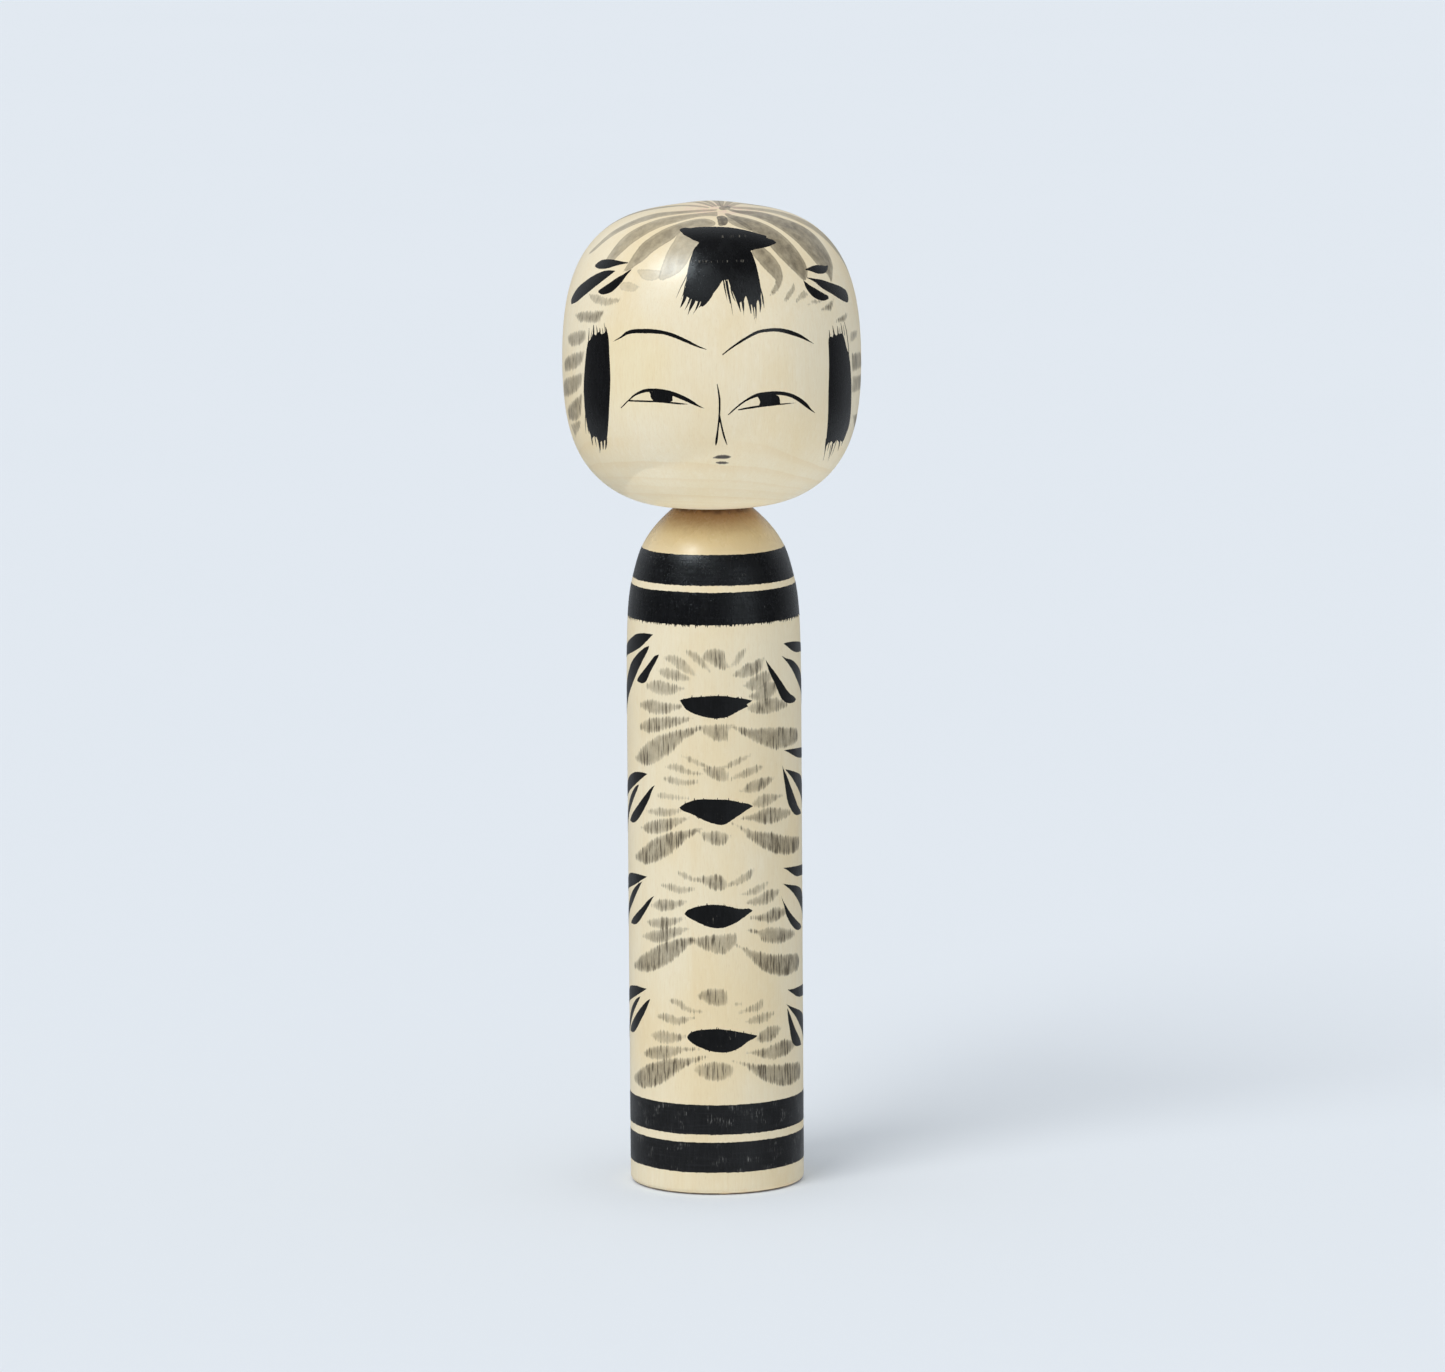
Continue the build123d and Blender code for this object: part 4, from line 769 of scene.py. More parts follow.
def film(name, surface, groups, body, cell=0.11, rough=0.05, fine=0.22, long=1.3, seed=1, hair=0.0):
    """One ink piece from a list of brush shapes. Strokes thinner than hair are meshed finer, a touch lower."""
    all_pts, all_norm, all_faces, all_deep, count = [], [], [], [], 0
    thin = [g for g in groups if len(g[0]) == 3 and max(q[2] for q in g) < hair]
    thick = [g for g in groups if g not in thin]
    work = [(g, cell, rough, PROUD) for g in clusters([shape_of(surface, g) for g in thick])]
    work += [(g, 0.055, rough * 0.2, PROUD - 0.006) for g in clusters([shape_of(surface, g) for g in thin])]
    for g, cell, rough, proud in work:
        lo, hi = min(x.box[0] for x in g), max(x.box[1] for x in g)
        s0, s1 = min(x.box[2] for x in g), max(x.box[3] for x in g)
        r = float(surface.at(np.linspace(s0, s1, 9))[0].mean())
        theta = np.linspace(lo, hi, max(8, int(math.radians(hi - lo) * r / cell)))
        s = np.linspace(s0, s1, max(8, int((s1 - s0) / cell)))
        T, S = np.meshgrid(theta, s)
        P = surface.place(T.ravel(), S.ravel())
        f = np.full(T.size, 9.0)
        for x in g:
            near = (T.ravel() >= x.box[0]) & (T.ravel() <= x.box[1]) & (S.ravel() >= x.box[2]) & (S.ravel() <= x.box[3])
            i = np.nonzero(near)[0]
            f[i] = np.minimum(f[i], x.distance(P[i], T.ravel()[i], S.ravel()[i]))
        f = f.reshape(T.shape) + rough * grain_noise(T, S, r, seed, fine, long)
        f[0, :] = f[-1, :] = f[:, 0] = f[:, -1] = np.maximum(0.2, f[:, 0].max())
        got = march(theta, s, f)
        if got is None:
            continue
        q, v, tri = got
        verts, norms, faces = close_film(surface, q, v, tri, proud, min(0.11, 1.2 * cell))
        all_pts.append(verts)
        all_norm.append(norms)
        all_faces.append(faces + count)
        all_deep.append(np.concatenate([-v, np.full(len(verts) - len(v), 0.2)]))
        count += len(verts)
    ob = add_mesh(name, np.concatenate(all_pts), np.concatenate(all_faces).tolist(), normals=np.concatenate(all_norm))
    at = ob.data.attributes.new("depth", "FLOAT", "POINT")
    at.data.foreach_set("value", np.concatenate(all_deep).astype(np.float32))
    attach(ob, body)
    return ob


def close_film(surface, q, v, tri, proud, shoulder):
    """Top and bottom skins that share their rim."""
    a = surface.place(q[tri[:, 0], 0], q[tri[:, 0], 1])
    b = surface.place(q[tri[:, 1], 0], q[tri[:, 1], 1])
    c = surface.place(q[tri[:, 2], 0], q[tri[:, 2], 1])
    n = np.cross(b - a, c - a)
    out = surface.normal(q[tri[:, 0], 0], q[tri[:, 0], 1])
    flip = (n * out).sum(1) < 0
    tri = np.where(flip[:, None], tri[:, ::-1], tri)
    edges = np.sort(np.concatenate([tri[:, [0, 1]], tri[:, [1, 2]], tri[:, [2, 0]]]), axis=1)
    uniq, num = np.unique(edges, axis=0, return_counts=True)
    rim = np.zeros(len(q), bool)
    rim[uniq[num == 1].ravel()] = True
    rise = np.clip(-v / shoulder, 0, 1)
    rise = rise * rise * (3 - 2 * rise)
    rise = np.where(rim, 0.0, np.maximum(rise, 0.25))
    top = np.where(rim, RIM, RIM + (proud - RIM) * rise)
    low = np.where(rim, RIM, RIM + (UNDER - RIM) * rise - 0.002)
    normal = surface.normal(q[:, 0], q[:, 1])
    upper = surface.place(q[:, 0], q[:, 1], top)
    under = surface.place(q[:, 0], q[:, 1], low)
    map_low = np.where(rim, np.arange(len(q)), 0)
    inner = np.nonzero(~rim)[0]
    map_low[inner] = len(q) + np.arange(len(inner))
    verts = np.concatenate([upper, under[inner]])
    norms = np.concatenate([normal, -normal[inner]])
    faces = np.concatenate([tri, map_low[tri][:, ::-1]])
    return verts, norms, faces


def band_edge(theta, z, spike, sign, seed):
    """A ring's edge: nearly true, with ink drawn out along the grain as fine spikes."""
    x = np.radians(theta) * BODY_R
    wave = 0.05 * noise2(x / 7.0, x * 0, seed) + 0.035 * noise2(x / 0.5, x * 0, seed + 1)
    rng = np.random.RandomState(seed + 2)
    tips = np.zeros_like(x)
    n = 420
    where = rng.uniform(-math.pi, math.pi, n) * BODY_R
    tall = spike * rng.uniform(0.15, 1.0, n) ** 1.6
    wide = rng.uniform(0.07, 0.16, n)
    for w0, h0, b0 in zip(where, tall, wide):
        d = np.abs((x - w0 + math.pi * BODY_R) % (2 * math.pi * BODY_R) - math.pi * BODY_R)
        tips = np.maximum(tips, h0 * np.clip(1 - d / b0, 0, 1))
    return z + wave + sign * tips


def bands(name, specs, body, seed):
    """Painted rings that go right round."""
    all_pts, all_norm, all_faces, count = [], [], [], 0
    n = 1150
    theta = np.linspace(-180, 180, n, endpoint=False)
    for k, (low, high, spike_low, spike_high) in enumerate(specs):
        zb = band_edge(theta, low, spike_low, -1, seed + 10 * k)
        zt = band_edge(theta, high, spike_high, 1, seed + 10 * k + 5)
        sb, st = body_s(zb), body_s(zt)
        inset = np.array([0, 0.05, 0.12])
        mid = np.linspace(0, 1, 9)[1:-1]
        rows = [sb + d for d in inset] + [sb + 0.12 + (st - sb - 0.24) * m for m in mid] + [st - d for d in inset[::-1]]
        lift = [RIM, 0.010, PROUD] + [PROUD] * len(mid) + [PROUD, 0.010, RIM]
        low_lift = [RIM, -0.02, UNDER] + [UNDER] * len(mid) + [UNDER, -0.02, RIM]
        m = len(rows)
        top = np.concatenate([BODY.place(theta, r, h) for r, h in zip(rows, lift)])
        nrm = np.concatenate([BODY.normal(theta, r) for r in rows])
        bot = np.concatenate([BODY.place(theta, r, h) for r, h in zip(rows[1:-1], low_lift[1:-1])])
        bnr = np.concatenate([-BODY.normal(theta, r) for r in rows[1:-1]])
        j = np.arange(n)
        kk = (j + 1) % n
        faces = []
        for i in range(m - 1):
            a, b = i * n, (i + 1) * n
            faces.append(np.stack([a + j, a + kk, b + kk, b + j], 1))
        low_index = lambda i: i * n if i in (0, m - 1) else m * n + (i - 1) * n
        for i in range(m - 1):
            a, b = low_index(i), low_index(i + 1)
            faces.append(np.stack([a + j, b + j, b + kk, a + kk], 1))
        all_pts.append(np.concatenate([top, bot]))
        all_norm.append(np.concatenate([nrm, bnr]))
        all_faces.append(np.concatenate(faces) + count)
        count += len(top) + len(bot)
    ob = add_mesh(name, np.concatenate(all_pts), np.concatenate(all_faces).tolist(), normals=np.concatenate(all_norm))
    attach(ob, body)
    return ob


def with_spikes(surface, pts, count, height, seed, top=True):
    """An outline plus fine ink spikes that the grain has drawn up from its edge."""
    rng = np.random.RandomState(seed)
    p = np.array(pts)
    lo, hi = p[:, 0].min(), p[:, 0].max()
    out = [pts]
    closed = np.concatenate([p, p[:1]])
    for th in rng.uniform(lo + 0.06 * (hi - lo), hi - 0.06 * (hi - lo), count):
        cross = []
        for (a0, b0), (a1, b1) in zip(closed, closed[1:]):
            if (a0 - th) * (a1 - th) < 0:
                cross.append(b0 + (b1 - b0) * (th - a0) / (a1 - a0))
        if not cross:
            continue
        edge_s = max(cross) if top else min(cross)
        sign = 1 if top else -1
        h = height * rng.uniform(0.25, 1.0) ** 1.5
        w = rng.uniform(0.05, 0.10)
        out.append([(th, edge_s - sign * 0.25, w * 1.3), (th, edge_s + sign * 0.1, w), (th + rng.uniform(-0.3, 0.3), edge_s + sign * h, 0.02)])
    return out


inks = {}
inks["ink_brows"] = film("ink_brows", HEAD, BROWS, "head", cell=0.085, rough=0.030, seed=3)
inks["ink_eyes"] = film("ink_eyes", HEAD, EYES, "head", cell=0.075, rough=0.022, seed=5)
inks["ink_nose"] = film("ink_nose", HEAD, NOSE, "head", cell=0.075, rough=0.022, seed=7)
mouth = film("ink_mouth", HEAD, MOUTH, "head", cell=0.08, rough=0.05, seed=9)
inks["ink_fringe"] = film("ink_fringe", HEAD, FRINGE, "head", cell=0.10, rough=0.035, seed=11, hair=0.25)
inks["ink_sidelock_left"] = film("ink_sidelock_left", HEAD, LOCK_LEFT, "head", cell=0.10, rough=0.035, seed=13, hair=0.33)
inks["ink_sidelock_right"] = film("ink_sidelock_right", HEAD, LOCK_RIGHT, "head", cell=0.10, rough=0.035, seed=15, hair=0.33)
inks["ink_hair_leaves"] = film("ink_hair_leaves", HEAD, HAIR_LEAVES, "head", cell=0.09, rough=0.03, seed=17)
centre_shapes = []
for i, (pts, n) in enumerate(zip(FLOWER_CENTRES, (11, 8, 8, 16))):
    centre_shapes += with_spikes(BODY, pts, n, 0.75, 100 + i)
    centre_shapes += with_spikes(BODY, pts, 4, 0.25, 120 + i, top=False)[1:]
inks["ink_flower_centres"] = film("ink_flower_centres", BODY, centre_shapes, "body", cell=0.10, rough=0.06, seed=19)
for side, sign in (("left", -1), ("right", 1)):
    leaves = [g for g in SIDE_LEAVES if sign * sum(q[0] for q in g) > 0]
    inks[f"ink_leaves_{side}"] = film(f"ink_leaves_{side}", BODY, leaves, "body", cell=0.11, rough=0.05, seed=21 + sign)
inks["ink_shoulder_bands"] = bands("ink_shoulder_bands", SHOULDER_BANDS, "body", 200)
inks["ink_base_bands"] = bands("ink_base_bands", BASE_BANDS, "body", 300)

# ============================================================================================
# Materials
# ============================================================================================


class Nodes:
    """A short way to write a node tree."""

    def __init__(self, name):
        self.mat = bpy.data.materials.new(name)
        self.mat.use_nodes = True
        self.nt = self.mat.node_tree
        self.nt.nodes.clear()
        self.out = self.nt.nodes.new("ShaderNodeOutputMaterial")
        self.bsdf = self.nt.nodes.new("ShaderNodeBsdfPrincipled")
        self.nt.links.new(self.bsdf.outputs[0], self.out.inputs[0])

    def put(self, socket, value):
        if isinstance(value, bpy.types.NodeSocket):
            self.nt.links.new(value, socket)
        elif value is not None:
            socket.default_value = value

    def math(self, op, a, b=None, c=None, clamp=False):
        n = self.nt.nodes.new("ShaderNodeMath")
        n.operation = op
        n.use_clamp = clamp
        for i, v in enumerate((a, b, c)):
            self.put(n.inputs[i], v)
        return n.outputs[0]

    def vec(self, op, a, b=None, scale=None):
        n = self.nt.nodes.new("ShaderNodeVectorMath")
        n.operation = op
        self.put(n.inputs[0], a)
        if b is not None:
            self.put(n.inputs[1], b)
        if scale is not None:
            self.put(n.inputs["Scale"], scale)
        return n.outputs["Value"] if op in ("LENGTH", "DOT_PRODUCT", "DISTANCE") else n.outputs[0]

    def noise(self, vector, scale=1.0, detail=2.0, rough=0.5, distort=0.0, colour=False):
        n = self.nt.nodes.new("ShaderNodeTexNoise")
        self.put(n.inputs["Vector"], vector)
        n.inputs["Scale"].default_value = scale
        n.inputs["Detail"].default_value = detail
        n.inputs["Roughness"].default_value = rough
        n.inputs["Distortion"].default_value = distort
        return n.outputs["Color" if colour else "Fac"]

    def ramp(self, value, stops, smooth=True):
        n = self.nt.nodes.new("ShaderNodeValToRGB")
        n.color_ramp.interpolation = "EASE" if smooth else "LINEAR"
        e = n.color_ramp.elements
        while len(e) < len(stops):
            e.new(0.5)
        for el, (pos, v) in zip(e, stops):
            el.position = pos
            el.color = (*v, 1) if isinstance(v, tuple) else (v, v, v, 1)
        self.put(n.inputs[0], value)
        return n.outputs[0]

    def step(self, value, lo, hi, a=0.0, b=1.0):
        n = self.nt.nodes.new("ShaderNodeMapRange")
        n.interpolation_type = "SMOOTHSTEP"
        self.put(n.inputs[0], value)
        for i, v in enumerate((lo, hi, a, b)):
            self.put(n.inputs[i + 1], v)
        return n.outputs[0]

    def mix(self, fac, a, b, blend="MIX"):
        n = self.nt.nodes.new("ShaderNodeMix")
        n.data_type = "RGBA"
        n.blend_type = blend
        self.put(n.inputs[0], fac)
        self.put(n.inputs[6], a if isinstance(a, bpy.types.NodeSocket) else (*a, 1))
        self.put(n.inputs[7], b if isinstance(b, bpy.types.NodeSocket) else (*b, 1))
        return n.outputs[2]

    def attribute(self, name):
        n = self.nt.nodes.new("ShaderNodeAttribute")
        n.attribute_name = name
        return n.outputs["Fac"]

    def place_mm(self):
        """Object place in millimetres."""
        n = self.nt.nodes.new("ShaderNodeTexCoord")
        return self.vec("SCALE", n.outputs["Object"], scale=1000.0)

    def split(self, v):
        n = self.nt.nodes.new("ShaderNodeSeparateXYZ")
        self.put(n.inputs[0], v)
        return n.outputs

    def join(self, x, y, z):
        n = self.nt.nodes.new("ShaderNodeCombineXYZ")
        for i, v in enumerate((x, y, z)):
            self.put(n.inputs[i], v)
        return n.outputs[0]

    def bump(self, height, strength, distance, after=None):
        n = self.nt.nodes.new("ShaderNodeBump")
        n.inputs["Strength"].default_value = strength
        n.inputs["Distance"].default_value = distance
        self.put(n.inputs["Height"], height)
        if after is not None:
            self.put(n.inputs["Normal"], after)
        return n.outputs[0]


def wood_material(name, pale, warm, ring, pith, lean_at, offset, washes, roughness, ring_mix, fibre_mix, head=False):
    """Pale turned wood: rings round a leaning pith, fibres and pores up the grain, turning marks, wax.
    Washes soak in along the pores."""
    N = Nodes(name)
    P0 = N.place_mm()
    height_mm = N.split(P0)[2]
    P = N.vec("ADD", P0, offset)
    sway = N.vec("SUBTRACT", N.noise(N.vec("MULTIPLY", P, (0.05, 0.05, 0.018)), 1.0, 2.0, colour=True), (0.5, 0.5, 0.5))
    W = N.vec("ADD", P0, N.vec("MULTIPLY", sway, (2.2, 2.2, 0.0)))
    x, y, z = N.split(W)
    # rings: distance from the pith, which leans a little with height
    rise = N.math("SUBTRACT", z, lean_at)
    px = N.math("MULTIPLY_ADD", rise, 0.022, pith[0])
    py = N.math("MULTIPLY_ADD", rise, -0.016, pith[1])
    d = N.vec("LENGTH", N.join(N.math("SUBTRACT", x, px), N.math("SUBTRACT", y, py), 0.0))
    uneven = N.noise(N.join(N.math("MULTIPLY", d, 0.35), 3.7, 1.1), 1.0, 1.0)
    turns = N.math("ADD", N.math("DIVIDE", d, ring), N.math("MULTIPLY", uneven, 1.4))
    phase = N.math("FRACT", turns)
    late = N.ramp(phase, [(0.0, 0.0), (0.50, 0.10), (0.84, 0.80), (0.92, 1.0), (0.97, 0.25), (1.0, 0.0)])
    yearly = N.noise(N.join(N.math("FLOOR", turns), 0.5, 0.5), 1.7, 0.0)
    late = N.math("MULTIPLY", late, N.step(yearly, 0.3, 0.7, 0.25, 1.0))
    if head:
        late = N.math("MULTIPLY", late, N.step(height_mm, 141.5, 136.0, 0.06, 0.82))
    # fibres and pores
    fib = N.noise(N.vec("MULTIPLY", P, (2.3, 2.3, 0.07)), 1.0, 3.0, 0.6)
    fine = N.noise(N.vec("MULTIPLY", P, (7.0, 7.0, 0.50)), 1.0, 2.0, 0.55)
    pore = N.noise(N.vec("MULTIPLY", P, (5.2, 5.2, 0.80)), 1.0, 1.0, 0.5)
    dark_pore = N.step(pore, 0.62, 0.76)
    cloud = N.noise(N.vec("MULTIPLY", P, (0.055, 0.055, 0.03)), 1.0, 3.0, 0.55)
    fleck = N.noise(N.vec("MULTIPLY", P, (1.1, 1.1, 0.45)), 1.0, 2.0, 0.5)
    mottled = N.noise(N.vec("MULTIPLY", P, (0.55, 0.55, 0.45)), 1.0, 1.0, 0.5)

    def tinted(r, g, b):
        return (min(1.0, warm[0] * r), min(1.0, warm[1] * g), min(1.0, warm[2] * b))

    col = N.mix(N.step(cloud, 0.35, 0.68), pale, warm)
    col = N.mix(N.math("MULTIPLY", late, ring_mix), col, tinted(0.90, 0.79, 0.64))
    col = N.mix(N.math("MULTIPLY", N.step(fib, 0.40, 0.68), fibre_mix), col, tinted(0.95, 0.88, 0.78))
    col = N.mix(N.math("MULTIPLY", N.step(fine, 0.48, 0.70), 0.20), col, tinted(0.88, 0.81, 0.72))
    col = N.mix(N.math("MULTIPLY", dark_pore, 0.16), col, tinted(0.72, 0.62, 0.50))
    col = N.mix(N.math("MULTIPLY", N.step(fleck, 0.52, 0.75), 0.22), col, (min(1, pale[0] * 1.06), min(1, pale[1] * 1.07), min(1, pale[2] * 1.14)))
    if head:
        # traces of rose between the strokes at the parting
        parting = N.vec("LENGTH", N.vec("MULTIPLY", N.vec("SUBTRACT", P0, (1.7, -6.4, 179.0)), (1.0, 1.6, 0.0)))
        rose = N.math("MULTIPLY", N.step(parting, 11.0, 2.0), N.step(fleck, 0.42, 0.60))
        col = N.mix(N.math("MULTIPLY", rose, 0.55), col, (0.80, 0.50, 0.42))
        # painted light: the underside of the chin is made paler, standing in for light thrown up from the table below
        chin_painted_light = N.step(height_mm, 128.6, 125.4)
        col = N.mix(N.math("MULTIPLY", chin_painted_light, 0.95), col, N.mix(1.0, col, (1.13, 1.16, 1.20), "MULTIPLY"))
        # a warmer tint over the left of the brow, and a paler, cooler patch to its right
        for at, wide, tint in (((-14.0, -22.0, 152.5), 13.0, (1.0, 0.975, 0.885)), ((7.0, -24.0, 152.0), 15.0, (1.035, 1.045, 1.07))):
            away = N.vec("LENGTH", N.vec("SUBTRACT", P0, at))
            col = N.mix(N.step(away, wide, 3.0), col, N.mix(1.0, col, tint, "MULTIPLY"))
    else:
        # the shoulder under the head browned and darkened, partly the wood's darker, burnished end grain, partly
        # painted shade from the head above it; a painted shadow round the foot's bottom edge
        neck_shade_and_burnish = N.step(height_mm, 113.0, 121.0)
        col = N.mix(N.math("MULTIPLY", neck_shade_and_burnish, 0.75), col, tinted(0.815, 0.725, 0.535))
        # painted shade: the neck just under the head is darkened to brown, along with the brown smudges there, its edge
        # streaked along the fibres
        neck_shade_and_smudge = N.step(N.math("ADD", height_mm, N.math("MULTIPLY", fib, 1.6)), 120.4, 125.4)
        col = N.mix(N.math("MULTIPLY", neck_shade_and_smudge, 0.90), col, (0.31, 0.15, 0.045))
        # painted contact shadow: a near-black line where the neck goes into the head
        neck_contact_shadow = N.step(N.math("ADD", height_mm, N.math("MULTIPLY", mottled, 1.2)), 124.3, 125.2)
        col = N.mix(N.math("MULTIPLY", neck_contact_shadow, 0.8), col, (0.10, 0.045, 0.018))
        # painted shadow: the underside of the foot's rounded edge is darkened where it meets the table
        foot_contact_shadow = N.step(N.math("ADD", height_mm, N.math("MULTIPLY", mottled, 0.12)), 0.46, 0.34)
        col = N.mix(N.math("MULTIPLY", foot_contact_shadow, 0.92), col, (0.085, 0.045, 0.026))
        # patchy reddish darkening from 0.5 to 1.5 mm above the bottom
        foot_reddening = N.math("MULTIPLY", N.step(height_mm, 1.5, 0.5), N.step(mottled, 0.40, 0.70))
        col = N.mix(N.math("MULTIPLY", foot_reddening, 0.30), col, tinted(0.98, 0.80, 0.68))

    if washes:
        soak = N.noise(N.vec("MULTIPLY", P, (3.3, 3.3, 0.23)), 1.0, 2.0, 0.62)
        broad = N.noise(N.vec("MULTIPLY", P, (2.6, 2.6, 0.22)), 1.0, 2.0, 0.55)
        mottle = N.noise(N.vec("MULTIPLY", P, (0.75, 0.75, 0.40)), 1.0, 3.0, 0.6)
        patch = N.noise(N.vec("MULTIPLY", P, (0.42, 0.42, 0.30)), 1.0, 1.0, 0.5)
        speck = N.noise(N.vec("MULTIPLY", P, (3.6, 3.6, 2.4)), 1.0, 2.0, 0.6)
        streak = N.step(soak, 0.47, 0.63)
        # on the crown the pores are cut across, so a wash lies even and crisp-edged there
        side = N.step(height_mm, 172.0, 160.0) if head else 1.0
        creep = N.math("MULTIPLY_ADD", side, -1.00, -0.18)
        keep = None
        for c in range(3):
            dist, tone = N.attribute(f"wash_d{c}"), N.attribute(f"wash_t{c}")
            edge_d = N.math("ADD", dist, N.math("MULTIPLY", N.math("SUBTRACT", soak, 0.5), creep))
            edge_d = N.math("ADD", edge_d, N.math("MULTIPLY", N.math("SUBTRACT", mottle, 0.5), 0.30))
            soft = N.math("MULTIPLY_ADD", side, -0.30, -0.10)
            n = N.nt.nodes.new("ShaderNodeMapRange")
            n.interpolation_type = "SMOOTHSTEP"
            N.put(n.inputs[0], edge_d)
            N.put(n.inputs[1], 0.10)
            N.put(n.inputs[2], soft)
            N.put(n.inputs[3], 0.0)
            N.put(n.inputs[4], 1.0)
            mask = n.outputs[0]
            body_of_ink = N.math("MULTIPLY_ADD", N.step(dist, -0.10, -0.95), 0.34, N.math("MULTIPLY_ADD", side, -0.20 if head else -0.34, 1.00))
            dens = N.math("MULTIPLY", tone, body_of_ink)
            vary = N.math("MULTIPLY_ADD", mottle, 0.95, 0.52)
            dens = N.math("MULTIPLY", dens, vary)
            grain_part = N.math("MULTIPLY", N.math("MULTIPLY", streak, N.step(patch, 0.28, 0.52)), N.math("MULTIPLY", tone, side))
            dens = N.math("ADD", dens, N.math("MULTIPLY", grain_part, 0.62 if head else 1.0))
            dens = N.math("ADD", dens, N.math("MULTIPLY", N.math("MULTIPLY", N.math("SUBTRACT", broad, 0.5), side), N.math("MULTIPLY", tone, 0.55)))
            dens = N.math("ADD", dens, N.math("MULTIPLY", N.math("SUBTRACT", speck, 0.5), N.math("MULTIPLY", tone, 0.32)))
            rim = N.math("MULTIPLY", N.step(dist, -0.45, -0.06), N.math("MULTIPLY_ADD", side, -0.10, 0.14))
            dens = N.math("ADD", dens, rim)
            dens = N.math("MULTIPLY", dens, mask, clamp=True)
            left = N.math("SUBTRACT", 1.0, N.math("MULTIPLY", dens, WASH_DEPTH))
            keep = left if keep is None else N.math("MULTIPLY", keep, left)
        film_colour = N.mix(keep, (0.060, 0.047, 0.030), (1.0, 1.0, 1.0))
        col = N.mix(1.0, col, film_colour, "MULTIPLY")

    N.put(N.bsdf.inputs["Base Color"], col)
    marks = N.noise(N.join(0.0, 0.0, N.math("MULTIPLY", z, 2.6)), 1.0, 3.0, 0.7)
    broad_marks = N.noise(N.join(0.4, 0.9, N.math("MULTIPLY", z, 0.5)), 1.0, 2.0, 0.5)
    height = N.math("ADD", N.math("MULTIPLY", fine, 0.5), N.math("MULTIPLY", dark_pore, -0.6))
    height = N.math("ADD", height, N.math("MULTIPLY", marks, 0.55))
    height = N.math("ADD", height, N.math("MULTIPLY", broad_marks, 0.9))
    N.put(N.bsdf.inputs["Normal"], N.bump(height, 0.35, 0.00004))
    worn = N.noise(N.vec("MULTIPLY", P, (0.22, 0.22, 0.12)), 1.0, 3.0, 0.6)
    rough = N.math("ADD", N.step(worn, 0.35, 0.7, roughness - 0.05, roughness + 0.05), N.math("MULTIPLY", fib, 0.06))
    if name.startswith("body"):
        rough = N.math("SUBTRACT", rough, N.math("MULTIPLY", neck_shade_and_burnish, 0.13))
    N.put(N.bsdf.inputs["Roughness"], rough)
    N.bsdf.inputs["Specular IOR Level"].default_value = 0.5
    return N.mat


